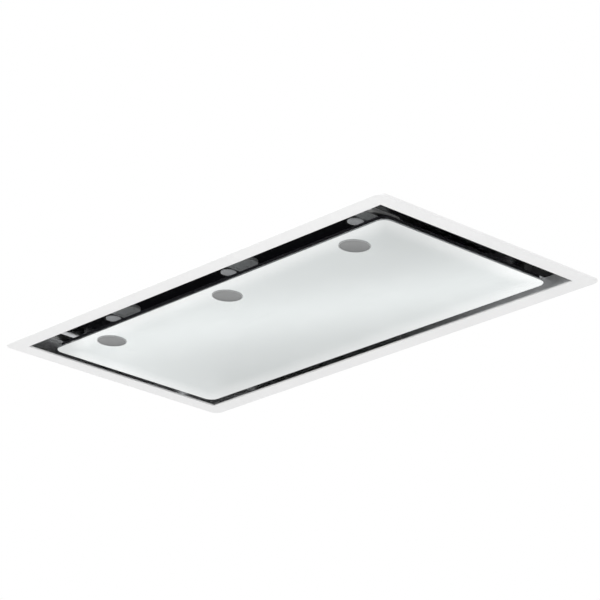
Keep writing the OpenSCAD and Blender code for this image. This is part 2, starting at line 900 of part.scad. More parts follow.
module strike_plates() color("silver")
    both_ends(catch_x)
        translate([0, catch_y, tray_top])
            difference() {
                linear_extrude(strike_t) rounded_rect(catch_l - 10, catch_w - 2, 2);
                translate([0, 0, -1]) cylinder(d = 3.4, h = 5);
            }

// Blower

module inlet_ring() color("dimgray")
    translate([0, fan_y, scroll_z])
        rotate_extrude($fn = 96)
            polygon(concat(
                [[ring_flange_r, 0], [ring_flange_r, ring_t]],
                arc([bell_r + bell_curve, bell_curve + ring_t], bell_curve, 270, 180, 8),
                [[bell_r, bell_curve + 2 * ring_t], [bell_r - ring_t, bell_curve + 2 * ring_t]],
                arc([bell_r + bell_curve, bell_curve + ring_t], bell_curve + ring_t, 180, 270, 8)));

module scroll_lugs(z0, z1) {
    for (a = lug_angles)
        rotate([0, 0, a])
            translate([scroll_radius(a) + lug_set, 0, z0]) {
                cylinder(r = lug_r, h = z1 - z0);
                translate([-lug_set, -lug_r, 0]) cube([lug_set, 2 * lug_r, z1 - z0]);
            }
}

module scroll_screw_places() {
    translate([0, fan_y, 0])
        for (a = lug_angles)
            rotate([0, 0, a]) translate([scroll_radius(a) + lug_set, 0, scroll_z + lid_t]) children();
}

// What lies beyond the scroll's outlet
module past_outlet() {
    translate([exit_x, -half_w, -scroll_top]) cube([half_w, frame_w, 2 * scroll_top]);
}

module scroll_floor() color("darkgray")
    difference() {
        translate([0, fan_y, scroll_z])
            difference() {
                union() {
                    linear_extrude(lid_t) polygon(scroll_points(scroll_wall, tongue_angle + 10));
                    linear_extrude(lid_t) polygon(scroll_points(scroll_wall + floor_rim, 0));
                    scroll_lugs(0, lid_t);
                }
                translate([0, 0, -1]) cylinder(r = ring_flange_r + side_play, h = 2 * lid_t);
                past_outlet();
            }
        scroll_screw_places() screw_hole();
    }

module scroll_casing() color("darkgray")
    translate([0, fan_y, scroll_z + lid_t])
        difference() {
            linear_extrude(scroll_h - lid_t) polygon(scroll_points(scroll_wall, tongue_angle + 10));
            translate([0, 0, -1]) linear_extrude(scroll_h) polygon(scroll_points(0, tongue_angle));
            past_outlet();
        }

module scroll_lid() color("darkgray")
    translate([0, fan_y, scroll_top])
        difference() {
            union() {
                linear_extrude(lid_t) polygon(scroll_points(scroll_wall, tongue_angle + 10));
                for (a = [30:60:330])
                    rotate([0, 0, a])
                        translate([motor_r + 8, -1, 0]) cube([wheel_r - motor_r - 10, 2, lid_t + 3]);
            }
            translate([0, 0, -1]) cylinder(r = motor_r + plate_rim, h = 3 * lid_t);
            for (a = [0:120:240])
                rotate([0, 0, a]) translate([motor_bolt_r, 0, 0]) screw_hole(motor_hole_d);
        }

// One blade: a forward-curved strip between the eye and the rim
module blade(h) {
    mid_r = (eye_r + wheel_r) / 2;
    spread = asin((blade_depth / 2 - blade_inset) / blade_r);
    translate([mid_r, 0, 0])
        linear_extrude(h)
            polygon(concat(
                arc([0, -blade_r * cos(spread)], blade_r, 90 + spread, 90 - spread, 5),
                arc([0, -blade_r * cos(spread)], blade_r - blade_t, 90 - spread, 90 + spread, 5)));
}

module wheel_shroud() color("slategray")
    translate([0, fan_y, wheel_low])
        difference() {
            cylinder(r = wheel_r, h = shroud_t, $fn = 120);
            translate([0, 0, -1]) cylinder(r = eye_r, h = shroud_t + 2, $fn = 120);
        }

module wheel_blades() color("slategray")
    translate([0, fan_y, wheel_low + shroud_t])
        for (i = [0:blade_count - 1])
            rotate([0, 0, i * 360 / blade_count]) blade(wheel_top - back_t - wheel_low - shroud_t);

// Back plate with the cup that reaches down round the motor
module wheel_back() color("slategray")
    translate([0, fan_y, 0])
        difference() {
            union() {
                translate([0, 0, wheel_top - back_t]) cylinder(r = wheel_r, h = back_t, $fn = 120);
                translate([0, 0, cup_low]) cylinder(r = cup_r + cup_t, h = wheel_top - cup_low);
            }
            translate([0, 0, cup_low + cup_t]) cylinder(r = cup_r, h = wheel_top);
            translate([0, 0, cup_low - 1]) cylinder(r = hub_r, h = cup_t + 2);
            for (a = [0:60:300])
                rotate([0, 0, a])
                    translate([cup_r * 0.63, 0, cup_low - 1]) cylinder(r = cup_r * 0.15, h = cup_t + 2);
        }

module wheel_hub() color("silver")
    translate([0, fan_y, 0])
        difference() {
            union() {
                translate([0, 0, hub_low]) cylinder(r = hub_r, h = hub_top - hub_low);
                translate([0, 0, cup_low - hub_flange_t])
                    cylinder(r = hub_r + hub_flange_w, h = hub_flange_t);
            }
            translate([0, 0, hub_low - 1]) cylinder(r = shaft_r, h = hub_top - hub_low + 2);
            translate([0, 0, (hub_low + cup_low - hub_flange_t) / 2 + 0.5])
                rotate([90, 0, 0]) cylinder(d = set_screw_d, h = 2 * hub_r);
        }

module motor_shaft() color("silver")
    translate([0, fan_y, hub_low - shaft_reach]) {
        cylinder(r = shaft_r, h = shaft_end - hub_low + shaft_reach);
        translate([0, 0, -shaft_chamfer])
            cylinder(r1 = shaft_r - shaft_chamfer, r2 = shaft_r, h = shaft_chamfer);
    }

module motor_body() color("dimgray")
    translate([0, fan_y, 0])
        difference() {
            union() {
                translate([0, 0, motor_low]) cylinder(r = motor_r - boss_wall, h = plate_z - motor_low);
                translate([0, 0, motor_low + rim_h]) cylinder(r = motor_r, h = rim_h);
                translate([0, 0, plate_z - rim_h]) cylinder(r = motor_r, h = rim_h);
                translate([0, 0, motor_low - boss_h]) cylinder(r = boss_r, h = boss_h + 1);
                for (a = [0:15:345])
                    rotate([0, 0, a])
                        translate([motor_r - 2 * boss_wall + 0.5, -fin_t / 2, motor_low + rim_h / 2])
                            cube([2 * boss_wall - 1, fin_t, plate_z - motor_low - rim_h]);
            }
            translate([0, 0, motor_low - boss_h - 1])
                cylinder(r = shaft_r + fit_play, h = shaft_end + 4 - motor_low + boss_h);
        }

module motor_bolt_places() {
    translate([0, fan_y, 0])
        for (a = [0:120:240])
            rotate([0, 0, a]) translate([motor_bolt_r, 0, plate_z + plate_t]) children();
}

module motor_plate() color("silver")
    difference() {
        translate([0, fan_y, plate_z])
            union() {
                cylinder(r = motor_r + plate_rim, h = plate_t);
                for (a = [0:120:240])
                    rotate([0, 0, a]) {
                        translate([motor_bolt_r, 0, 0]) cylinder(r = ear_r, h = plate_t);
                        translate([motor_r - 8, -ear_r, 0])
                            cube([motor_bolt_r - motor_r + 8, 2 * ear_r, plate_t]);
                    }
            }
        translate([0, fan_y, plate_z - 1]) cylinder(r = cap_bore_r, h = plate_t + 2);
        motor_bolt_places() screw_hole(motor_hole_d);
    }

module motor_end_cap() color("dimgray")
    translate([0, fan_y, plate_z + plate_t])
        difference() {
            rotate_extrude()
                polygon(concat(
                    [[0, 0], [motor_r - 8, 0]],
                    arc([motor_r - 8 - cap_edge_r, cap_h - cap_edge_r], cap_edge_r, 0, 90),
                    [[0, cap_h]]));
            for (a = [0:30:330])
                rotate([0, 0, a]) translate([16, -1.5, cap_h - 4]) cube([16, 3, 8]);
            translate([0, 0, -1]) cylinder(r = cap_bore_r, h = 9);
        }

module motor_bushes() color("black")
    motor_bolt_places()
        translate([0, 0, -plate_t - bush_h])
            difference() {
                union() {
                    cylinder(r = bush_r, h = bush_h * 0.36);
                    cylinder(r = bush_neck_r, h = bush_h);
                    translate([0, 0, bush_h * 0.64]) cylinder(r = bush_r, h = bush_h * 0.36);
                }
                translate([0, 0, -1]) cylinder(d = motor_hole_d + 0.4, h = bush_h + 2);
            }

module motor_bolts() color("silver")
    motor_bolt_places() {
        translate([0, 0, -plate_t - bush_h - lid_t - bolt_head - 1])
            cylinder(d = motor_hole_d, h = plate_t + bush_h + lid_t + bolt_head + 1);
        for (z = [0, -plate_t - bush_h - lid_t - bolt_head])
            translate([0, 0, z]) cylinder(d = nut_across, h = bolt_head, $fn = 6);
    }

// Motor housing

module housing_shell(w, d, z0, z1) {
    translate([house_mid[0], house_mid[1], 0]) slab(w, d, z0, z1);
}

module motor_housing() color("lightsteelblue")
    difference() {
        union() {
            housing_shell(house_w + 2 * box_sheet, house_d + 2 * box_sheet, plenum_h, house_top);
            housing_shell(house_w + 2 * foot_w, house_d, plenum_h, plenum_h + box_sheet);
            housing_beads();
        }
        housing_shell(house_w, house_d, plenum_h - 1, house_top + 1);
        translate([house_x1 - 1, spigot_y, spigot_z])
            rotate([0, 90, 0]) cylinder(r = spigot_r - spigot_wall, h = box_sheet + 2);
        collar_screw_places() screw_hole();
        lid_screw_places() screw_hole(3);
        housing_screw_places() screw_hole();
        translate([house_x0 - 5, 0, plenum_h + 30])
            rotate([0, 90, 0]) cylinder(r = wire_hole_r, h = 10);
        translate([spigot_x, spigot_y, 0])
            slab(2 * foot_w, 2 * collar_half_y + 1, plenum_h - 1, plenum_h + 2 * box_sheet);
    }

// Upright pressed beads on the housing's walls
module housing_beads() {
    l = house_top - plenum_h - lid_skirt - 2 * bead_end;
    z = plenum_h + bead_end + l / 2;
    for (side = [-1, 1])
        for (s = [-0.3, 0, 0.3])
            translate([house_mid[0] + s * house_w, house_mid[1] + side * (house_d / 2 + box_sheet), z])
                rotate([0, 90, 0]) rotate([side * -90, 0, 0]) bead(l);
    for (s = [-0.3, 0.3])
        translate([house_x0 - box_sheet, house_mid[1] + s * house_d, z]) rotate([0, -90, 0]) bead(l);
}

module housing_screw_places() {
    for (y = [-0.38, 0, 0.38])
        translate([house_x0 - foot_screw_in, house_mid[1] + y * house_d, plenum_h + box_sheet]) children();
    for (y = [0.18, 0.42])
        translate([house_x1 + foot_screw_in, house_mid[1] + y * house_d, plenum_h + box_sheet]) children();
}

// Block over the housing's room, grown by g on all four sides
module lid_shell(g, z0, z1) {
    housing_shell(house_w + 2 * g, house_d + 2 * g, z0, z1);
}

module housing_lid() color("lightsteelblue")
    difference() {
        lid_shell(box_sheet + lid_out, house_top - lid_skirt, total_h);
        lid_shell(lid_out, 0, house_top);
        difference() {
            lid_shell(-groove_in, total_h - box_sheet / 2, total_h + 1);
            lid_shell(-groove_in - groove_w, 0, total_h + 2);
        }
        lid_screw_places() screw_hole(3);
    }

module lid_screw_places() {
    for (side = [-1, 1])
        for (s = [-0.35, 0.35])
            translate([house_mid[0] + s * house_w,
                       house_mid[1] + side * (house_d / 2 + box_sheet + lid_out),
                       house_top - lid_skirt / 2])
                rotate([side * -90, 0, 0]) children();
}

module housing_screws() color("silver") {
    housing_screw_places() screw(l = 2 * box_sheet + 3);
    lid_screw_places() screw(3, 2 * box_sheet + 3, 6, 1.8);
    collar_screw_places() screw(l = collar_t + box_sheet);
    scroll_screw_places() screw(l = lid_t + box_sheet + 4);
}

// Outlet

module collar_screw_places() {
    for (y = [-1, 1])
        for (z = [-1, 1])
            translate([spigot_x + collar_t,
                       spigot_y + y * (collar_half_y - collar_screw_in),
                       spigot_z + z * (collar_half_z - collar_screw_in)])
                rotate([0, 90, 0]) children();
}

module outlet_collar() color("black")
    difference() {
        translate([spigot_x, spigot_y, spigot_z])
            rotate([0, 90, 0])
                linear_extrude(collar_t)
                    difference() {
                        rounded_rect(2 * collar_half_z, 2 * collar_half_y, 5);
                        circle(r = spigot_r - spigot_wall, $fn = 120);
                    }
        collar_screw_places() screw_hole();
    }

// Round spigot with the ring inside it that stops the flaps
module outlet_spigot() color("black")
    difference() {
        translate([spigot_x, spigot_y, spigot_z])
            rotate([0, 90, 0])
                difference() {
                    translate([0, 0, collar_t]) cylinder(r = spigot_r, h = spigot_l - collar_t, $fn = 120);
                    translate([0, 0, -1]) cylinder(r = stop_r, h = spigot_l + 2, $fn = 120);
                    for (span = [[-1, stop_from], [stop_from + stop_t, spigot_l + 2]])
                        translate([0, 0, span[0]])
                            cylinder(r = spigot_r - spigot_wall, h = span[1] - span[0], $fn = 120);
                }
        translate([flap_x, spigot_y, spigot_z - spigot_r - 1]) cylinder(d = flap_pin_d, h = spigot_d + 2);
    }

module flap_pin() color("silver")
    translate([flap_x, spigot_y, spigot_z - spigot_r + 0.3]) cylinder(d = flap_pin_d, h = spigot_d - 0.6);

// Half disc on the +Y side of the pin, with its knuckles at the given heights
module flap(knuckles) {
    difference() {
        union() {
            intersection() {
                translate([-flap_t / 2, 0, 0])
                    rotate([0, 90, 0]) cylinder(r = flap_r, h = flap_t, $fn = 120);
                translate([-flap_t, flap_start, -spigot_r]) cube([2 * flap_t, spigot_r, spigot_d]);
            }
            for (z = knuckles)
                translate([0, 0, z - knuckle_l / 2]) {
                    cylinder(r = knuckle_r, h = knuckle_l);
                    translate([-flap_t / 2, 0, 0]) cube([flap_t, flap_start + 1, knuckle_l]);
                }
            for (z = [-flap_rib_z, flap_rib_z])
                translate([flap_t / 2, 0, z]) rotate([-90, 0, 0])
                    translate([0, 0, flap_start]) cylinder(r = flap_rib_r, h = flap_r * 0.62);
        }
        translate([0, 0, -spigot_r]) cylinder(r = flap_pin_d / 2 + fit_play, h = spigot_d);
    }
}

module flap_left() color("dimgray")
    translate([flap_x, spigot_y, spigot_z]) flap([-knuckle_far, knuckle_near]);

module flap_right() color("dimgray")
    translate([flap_x, spigot_y, spigot_z]) mirror([0, 1, 0]) flap([-knuckle_near, knuckle_far]);

// Electronics

module case_screw_places() {
    for (x = [-1, 1])
        for (y = [-1, 1])
            translate([case_mid + x * (case_w / 2 - case_screw_in), y * (case_d / 2 - case_screw_in), 0])
                translate([0, 0, case_top + case_t]) children();
}

module electronics_box() color("lightsteelblue")
    difference() {
        union() {
            translate([case_mid, 0, 0])
                difference() {
                    slab(case_w, case_d, plenum_h, case_top);
                    slab(case_w - 2 * case_t, case_d - 2 * case_t, plenum_h + case_t, case_top + 1);
                }
            translate([0, 0, -case_h - case_t]) case_screw_places() cylinder(r = case_post_r, h = case_h);
            board_posts();
        }
        translate([case_x - 1, gland_y, gland_z])
            rotate([0, 90, 0]) cylinder(r = gland_thread_r + 0.2, h = 5);
        case_screw_places() screw_hole(3, 40);
        translate([case_mid + case_w / 4, 0, plenum_h]) slab(wire_slot_w, wire_slot_d, -1, 2 * case_t);
    }

module board_posts() {
    for (x = [-1, 1])
        for (y = [-1, 1])
            translate([case_mid + board_shift_x + x * (board_w / 2 - 8),
                       board_shift_y + y * (board_d / 2 - 5), plenum_h])
                cylinder(r = board_post_r, h = board_rise);
}

module electronics_cover() color("lightsteelblue")
    difference() {
        translate([case_mid, 0, 0])
            union() {
                slab(case_w, case_d, case_top, case_top + case_t);
                for (i = [-2:2])
                    translate([0, i * 14, case_top + case_t]) rotate([0, 90, 0])
                        translate([0, 0, -30]) cylinder(r = 1.2, h = 60);
            }
        case_screw_places() screw_hole(3);
    }

// Board with its relays, choke, terminal block and heat sink
module control_board() color("darkgreen")
    translate([case_mid + board_shift_x, board_shift_y, plenum_h + board_rise]) {
        slab(board_w, board_d, 0, board_t);
        for (i = [0:2])
            translate([(0.21 * i - 0.34) * board_w, 0.32 * board_d, board_t]) slab(18, 14, 0, 15);
        translate([board_w * 0.33, board_d * -0.22, board_t]) slab(30, 34, 0, 24);
        translate([board_w * 0.33, board_d * 0.22, board_t]) cylinder(r = 9, h = 16);
        for (i = [0:5])
            translate([10 * i - board_w * 0.4, board_d * -0.4, board_t])
                difference() {
                    slab(9.4, 14, 0, 12);
                    translate([0, 0, 4]) cylinder(r = 2.6, h = 12);
                }
        translate([board_w * -0.17, board_d * -0.12, board_t]) {
            slab(50, 3, 0, 20);
            for (i = [-4:4])
                translate([i * 5.5, 5, 0]) slab(1.5, 10, 0, 20);
        }
    }

module motor_capacitor() color("gainsboro")
    translate([case_x + 22, case_d / 2 - case_t - capacitor_r - 1.5, plenum_h + case_t + capacitor_r])
        rotate([0, 90, 0]) {
            cylinder(r = capacitor_r, h = capacitor_l);
            translate([0, 0, capacitor_l]) cylinder(r = 13, h = 3);
            for (y = [-5, 5])
                translate([-0.4, y - 3, capacitor_l + 3]) cube([0.8, 6, 9]);
        }

module cable_gland() color("black")
    translate([case_x, gland_y, gland_z])
        rotate([0, -90, 0])
            difference() {
                union() {
                    translate([0, 0, -10]) cylinder(r = gland_thread_r, h = 14);
                    cylinder(r = gland_hex_r, h = 6, $fn = 6);
                    translate([0, 0, -case_t - 5]) cylinder(r = gland_hex_r, h = 5, $fn = 6);
                    translate([0, 0, 6]) cylinder(r = gland_cap_r, h = 9);
                    translate([0, 0, 15]) cylinder(r1 = gland_cap_r, r2 = gland_cap_r - 3, h = 4);
                }
                translate([0, 0, -20]) cylinder(d = cable_d, h = 50);
            }

// Panel

// Plate with round corners and a chamfered lower edge
module chamfered_plate(w, d, t, r, c) {
    translate([0, 0, c]) linear_extrude(t - c) rounded_rect(w, d, r);
    for (x = [-1, 1])
        for (y = [-1, 1])
            translate([x * (w / 2 - r), y * (d / 2 - r), 0]) cylinder(r1 = r - c, r2 = r, h = c);
    rotate([90, 0, 90]) translate([0, 0, r - w / 2])
        linear_extrude(w - 2 * r) polygon([[c - d / 2, 0], [d / 2 - c, 0], [d / 2, c], [-d / 2, c]]);
    rotate([90, 0, 0]) translate([0, 0, r - d / 2])
        linear_extrude(d - 2 * r) polygon([[c - w / 2, 0], [w / 2 - c, 0], [w / 2, c], [-w / 2, c]]);
}

module panel_skin() color("gainsboro")
    difference() {
        translate([0, panel_mid, panel_low])
            chamfered_plate(panel_w, panel_d, skin_t, panel_corner_r, skin_chamfer);
        difference() {
            translate([0, panel_mid, 0])
                slab(panel_w - 2 * hem_w, panel_d - 2 * hem_w, panel_low + skin_sheet, skin_top + 1);
            for (x = lamp_xs)
                translate([x, lamp_y, panel_low]) cylinder(r = nut_r, h = 2 * skin_t);
        }
        for (x = lamp_xs)
            translate([x, lamp_y, panel_low - 1]) cylinder(r = lens_r + sleeve_t + lamp_play, h = skin_t + 2);
    }

// The tray's outline, moved inwards
module tray_outline(inset) {
    rounded_rect(tray_w - 2 * inset, tray_d - 2 * inset, tray_corner_r - inset);
}

module panel_tray() color("#202024")
    difference() {
        translate([0, panel_mid, skin_top]) linear_extrude(tray_h) tray_outline(0);
        translate([0, panel_mid, skin_top - 1])
            linear_extrude(tray_h - tray_sheet + 1) tray_outline(tray_sheet);
        for (x = lamp_xs)
            translate([x, lamp_y, 0]) cylinder(r = sink_r + 0.4, h = 2 * tray_h);
        both_ends(hinge_x) arm_screw_places() screw_hole(2.5);
    }

// Lamps

module lamp_bezels() color("lightgray")
    for (x = lamp_xs)
        translate([x, lamp_y, panel_low])
            rotate_extrude($fn = 96)
                polygon([[lens_r, -lip_t], [lamp_r - 0.3, -lip_t], [lamp_r, -lip_t + 0.3], [lamp_r, 0],
                         [lens_r + sleeve_t, 0], [lens_r + sleeve_t, sleeve_h], [lens_r, sleeve_h],
                         [lens_r, lens_depth + ledge_t], [lens_r - ledge_w, lens_depth + ledge_t],
                         [lens_r - ledge_w, lens_depth], [lens_r, lens_depth]]);

// Frosted lens with a shallow dish in its lower face
module lamp_lenses() color("silver") {
    rim_r = lens_r - lens_play;
    dish_r = (rim_r * rim_r + lens_dish * lens_dish) / (2 * lens_dish);
    dish_angle = asin(rim_r / dish_r);
    lens_t = lens_depth + lip_t / 2;
    for (x = lamp_xs)
        translate([x, lamp_y, lens_ledge - lens_t])
            rotate_extrude($fn = 96)
                polygon(concat(
                    [[0, lens_t]],
                    arc([0, lens_dish - dish_r], dish_r, 90, 90 - dish_angle, 6),
                    [[rim_r, lens_t]]));
}

module lamp_sinks() color("silver")
    for (x = lamp_xs)
        translate([x, lamp_y, 0])
            difference() {
                union() {
                    translate([0, 0, lens_ledge + ledge_t])
                        cylinder(r = lens_r - 0.2, h = skin_top + 3 - lens_ledge - ledge_t);
                    translate([0, 0, skin_top + 2])
                        cylinder(r = sink_r, h = tray_top + sink_rise - skin_top - 2);
                }
                for (a = [0:45:315])
                    rotate([0, 0, a])
                        translate([sink_r * 0.55, -0.7, tray_top + sink_rise - 1.2])
                            cube([sink_r, 1.4, 4]);
            }

module lamp_nuts() color("#202020")
    for (x = lamp_xs)
        translate([x, lamp_y, tray_top])
            difference() {
                cylinder(r = nut_r, h = nut_t);
                translate([0, 0, -1]) cylinder(r = sink_r + 0.2, h = nut_t + 2);
                for (a = [0:30:330])
                    rotate([0, 0, a]) translate([nut_r + 1, 0, -1]) cylinder(r = 2, h = nut_t + 2, $fn = 24);
            }

module lamp_drivers() color("silver")
    for (x = lamp_xs)
        translate([x + nut_r + driver_gap, lamp_y + driver_shift, tray_top])
            difference() {
                union() {
                    translate([0, -driver_w / 2, 0]) cube([driver_l - driver_w / 2, driver_w, driver_h]);
                    translate([driver_l - driver_w / 2, 0, 0]) cylinder(d = driver_w, h = driver_h);
                }
                translate([driver_rim, driver_rim - driver_w / 2, driver_h - 1])
                    cube([driver_l - driver_w / 2 - driver_rim - 2, driver_w - 2 * driver_rim, 2]);
                translate([driver_l - 8, 0, driver_h - 2]) cylinder(d = 4, h = 4);
            }

// The three filters: left, middle and right
module at_filter(i) {
    translate([filter_xs[i], 0, 0]) children();
}

module filter_frame_left() color("silver") at_filter(0) filter_frame();
module filter_frame_middle() color("silver") at_filter(1) filter_frame();
module filter_frame_right() color("silver") at_filter(2) filter_frame();
module filter_baffles_left() color("gray") at_filter(0) filter_baffles();
module filter_baffles_middle() color("gray") at_filter(1) filter_baffles();
module filter_baffles_right() color("gray") at_filter(2) filter_baffles();
module filter_latch_left() color("black") at_filter(0) filter_latch();
module filter_latch_middle() color("black") at_filter(1) filter_latch();
module filter_latch_right() color("black") at_filter(2) filter_latch();
module latch_spring_left() color("silver") at_filter(0) latch_spring();
module latch_spring_middle() color("silver") at_filter(1) latch_spring();
module latch_spring_right() color("silver") at_filter(2) latch_spring();

ceiling_frame();
ceiling_seal();
recess_pan();
plenum_walls();
plenum_top();
body_screws();
hanging_brackets();
filter_frame_left();
filter_frame_middle();
filter_frame_right();
filter_baffles_left();
filter_baffles_middle();
filter_baffles_right();
filter_latch_left();
filter_latch_middle();
filter_latch_right();
latch_spring_left();
latch_spring_middle();
latch_spring_right();
hinge_brackets();
hinge_pins();
catch_housings();
catch_magnets();
inlet_ring();
scroll_floor();
scroll_casing();
scroll_lid();
wheel_shroud();
wheel_blades();
wheel_back();
wheel_hub();
motor_shaft();
motor_body();
motor_plate();
motor_end_cap();
motor_bushes();
motor_bolts();
motor_housing();
housing_lid();
housing_screws();
outlet_collar();
outlet_spigot();
flap_pin();
flap_left();
flap_right();
electronics_box();
electronics_cover();
control_board();
motor_capacitor();
cable_gland();
panel_skin();
panel_tray();
hinge_arms();
arm_screws();
strike_plates();
lamp_bezels();
lamp_lenses();
lamp_sinks();
lamp_nuts();
lamp_drivers();
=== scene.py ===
# %% [markdown]
# # A ceiling range hood, dressed in Blender
# The hood's solids are modelled in CAD and come in as a fixed frame: Blender adds nothing to
# their sizes. This lesson sets the camera, the room and the light, gives every piece its finish,
# and adds two thin black pads that paint a dark reflection into the slots, and three wound
# springs.
# Everything is in metres. X runs along the hood, Y from the panel's hinge side to its free
# side, and Z is up. The ceiling's lower surface is at Z = 0.

# %% Load the frame
import json
import math

import bmesh
import bpy
from mathutils import Matrix, Vector


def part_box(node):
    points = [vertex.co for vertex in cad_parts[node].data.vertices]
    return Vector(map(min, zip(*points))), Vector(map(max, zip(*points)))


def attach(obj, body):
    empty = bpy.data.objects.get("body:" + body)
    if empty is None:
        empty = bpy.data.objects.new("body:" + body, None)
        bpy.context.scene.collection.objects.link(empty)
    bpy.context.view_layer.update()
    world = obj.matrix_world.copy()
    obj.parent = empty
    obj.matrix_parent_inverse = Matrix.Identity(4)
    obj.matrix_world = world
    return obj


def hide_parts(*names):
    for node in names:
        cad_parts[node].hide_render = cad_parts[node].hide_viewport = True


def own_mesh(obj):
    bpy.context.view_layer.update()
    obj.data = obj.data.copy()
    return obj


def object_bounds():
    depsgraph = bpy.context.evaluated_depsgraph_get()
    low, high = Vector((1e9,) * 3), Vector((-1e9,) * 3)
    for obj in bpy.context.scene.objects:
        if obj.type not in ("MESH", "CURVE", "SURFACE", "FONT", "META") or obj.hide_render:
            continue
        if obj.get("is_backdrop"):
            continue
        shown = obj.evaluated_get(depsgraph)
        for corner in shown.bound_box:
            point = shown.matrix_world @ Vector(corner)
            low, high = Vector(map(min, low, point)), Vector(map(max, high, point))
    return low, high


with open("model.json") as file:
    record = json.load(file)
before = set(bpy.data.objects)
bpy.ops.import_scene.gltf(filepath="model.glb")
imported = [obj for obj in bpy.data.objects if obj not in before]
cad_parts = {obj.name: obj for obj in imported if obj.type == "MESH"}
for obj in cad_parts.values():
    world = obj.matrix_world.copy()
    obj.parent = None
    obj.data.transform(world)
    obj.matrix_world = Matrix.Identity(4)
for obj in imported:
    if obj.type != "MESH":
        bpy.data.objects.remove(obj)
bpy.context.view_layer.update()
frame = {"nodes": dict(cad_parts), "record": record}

# %% [markdown]
# ## The camera
# The photograph was taken from below, about 4.7 m away, with a long lens. Such a lens keeps the
# far side of the frame nearly as wide as the near side. The camera could be turned by angles,
# but the straight edges in the picture give its three axes, so these are written as a matrix.

# %% Place the camera
camera_data = bpy.data.cameras.new("camera")
camera_data.lens = 164.04
camera_data.sensor_width = 36.0
camera_data.clip_end = 60.0
camera = bpy.data.objects.new("camera", camera_data)
bpy.context.scene.collection.objects.link(camera)
camera_right = Vector((0.65821, 0.75164, 0.04234))
camera_up = Vector((0.24903, -0.27047, 0.92996))
camera_back = camera_right.cross(camera_up).normalized()
camera.matrix_world = Matrix((camera_right, camera_up, camera_back)).transposed().to_4x4()
camera.location = (3.37678, -2.83674, -1.70363)
bpy.context.scene.camera = camera
print("camera", [round(c, 3) for c in camera.location], "lens", camera_data.lens)

# %% [markdown]
# ## The room
# A ceiling hood is looked at from below, against a white ceiling. A plain sheet would hide the
# hood's body from every camera above it, so this ceiling shows on its lower face only. It also
# casts no shadow and lights no matt surface, so the hood is lit as if the sheet weren't there.
# The floor is as far below as a real one, and pale, because the polished recess mirrors it. A
# camera that is lower still looks through it.

# %% Helpers for shader nodes
def add_node(tree, kind, settings=None, **inputs):
    """A shader node with its settings and its unlinked inputs filled in."""
    made = tree.nodes.new(kind)
    for key, value in (settings or {}).items():
        setattr(made, key, value)
    for key, value in inputs.items():
        made.inputs[key.replace("_", " ")].default_value = value
    return made


def join(tree, *pairs):
    """Links each output to the input beside it."""
    for source, target in pairs:
        tree.links.new(source, target)


print("helpers ready:", add_node.__name__, join.__name__)

# %% A sheet that shows on one side
def one_sided(name, face_shader, for_all_rays):
    """A material with the shader from face_shader on its front and nothing on its back. With
    for_all_rays False, only the camera looks through the back."""
    material = bpy.data.materials.new(name)
    material.use_nodes = True
    tree = material.node_tree
    tree.nodes.clear()
    side = add_node(tree, "ShaderNodeNewGeometry")
    rays = add_node(tree, "ShaderNodeLightPath")
    hidden = add_node(tree, "ShaderNodeMath", {"operation": "MULTIPLY"})
    clear = add_node(tree, "ShaderNodeBsdfTransparent")
    mix = add_node(tree, "ShaderNodeMixShader")
    output = add_node(tree, "ShaderNodeOutputMaterial")
    join(tree,
         (side.outputs["Backfacing"], hidden.inputs[0]),
         (hidden.outputs[0], mix.inputs[0]),
         (face_shader(tree).outputs[0], mix.inputs[1]),
         (clear.outputs[0], mix.inputs[2]),
         (mix.outputs[0], output.inputs["Surface"]))
    if for_all_rays:
        hidden.inputs[1].default_value = 1.0
    else:
        join(tree, (rays.outputs["Is Camera Ray"], hidden.inputs[1]))
    return material


print("helper ready:", one_sided.__name__)

# %% A flat piece of the room
def stage_mesh(name, points, faces, material):
    """A flat mesh that belongs to the room and not to the hood."""
    mesh = bpy.data.meshes.new(name)
    mesh.from_pydata(points, [], faces)
    made = bpy.data.objects.new(name, mesh)
    bpy.context.scene.collection.objects.link(made)
    made.data.materials.append(material)
    made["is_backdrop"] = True
    return made


print("helper ready:", stage_mesh.__name__)

# %% The ceiling round the hood
def white_light(tree):
    """The even white of a lit ceiling. A strength of 1 renders as white."""
    return add_node(tree, "ShaderNodeEmission", Color=(1, 1, 1, 1), Strength=1.0)


hole_half_x, hole_half_y = 0.488, 0.238
ceiling_half = 30.0
corners = [(-1, -1), (1, -1), (1, 1), (-1, 1)]
ring = [(x * hole_half_x, y * hole_half_y, 0.0) for x, y in corners]
ring += [(x * ceiling_half, y * ceiling_half, 0.0) for x, y in corners]
faces_down = [((i + 1) % 4, 4 + (i + 1) % 4, 4 + i, i) for i in range(4)]
ceiling_white = one_sided("ceiling_white", white_light, for_all_rays=True)
ceiling = stage_mesh("ceiling_sheet", ring, faces_down, ceiling_white)
ceiling.visible_diffuse = False
ceiling.visible_shadow = False
print("ceiling faces down:", all(p.normal.z < 0 for p in ceiling.data.polygons))

# %% The floor
def pale_floor(tree):
    """A matt pale floor."""
    return add_node(tree, "ShaderNodeBsdfDiffuse", Color=(0.78, 0.78, 0.78, 1))


floor_half, floor_z = 14, -2.3
square = [(x * floor_half, y * floor_half, floor_z) for x, y in corners]
floor_pale = one_sided("floor_pale", pale_floor, for_all_rays=False)
floor = stage_mesh("floor", square, [(0, 1, 2, 3)], floor_pale)
print(floor.name, "at", floor_z, "m under the ceiling")
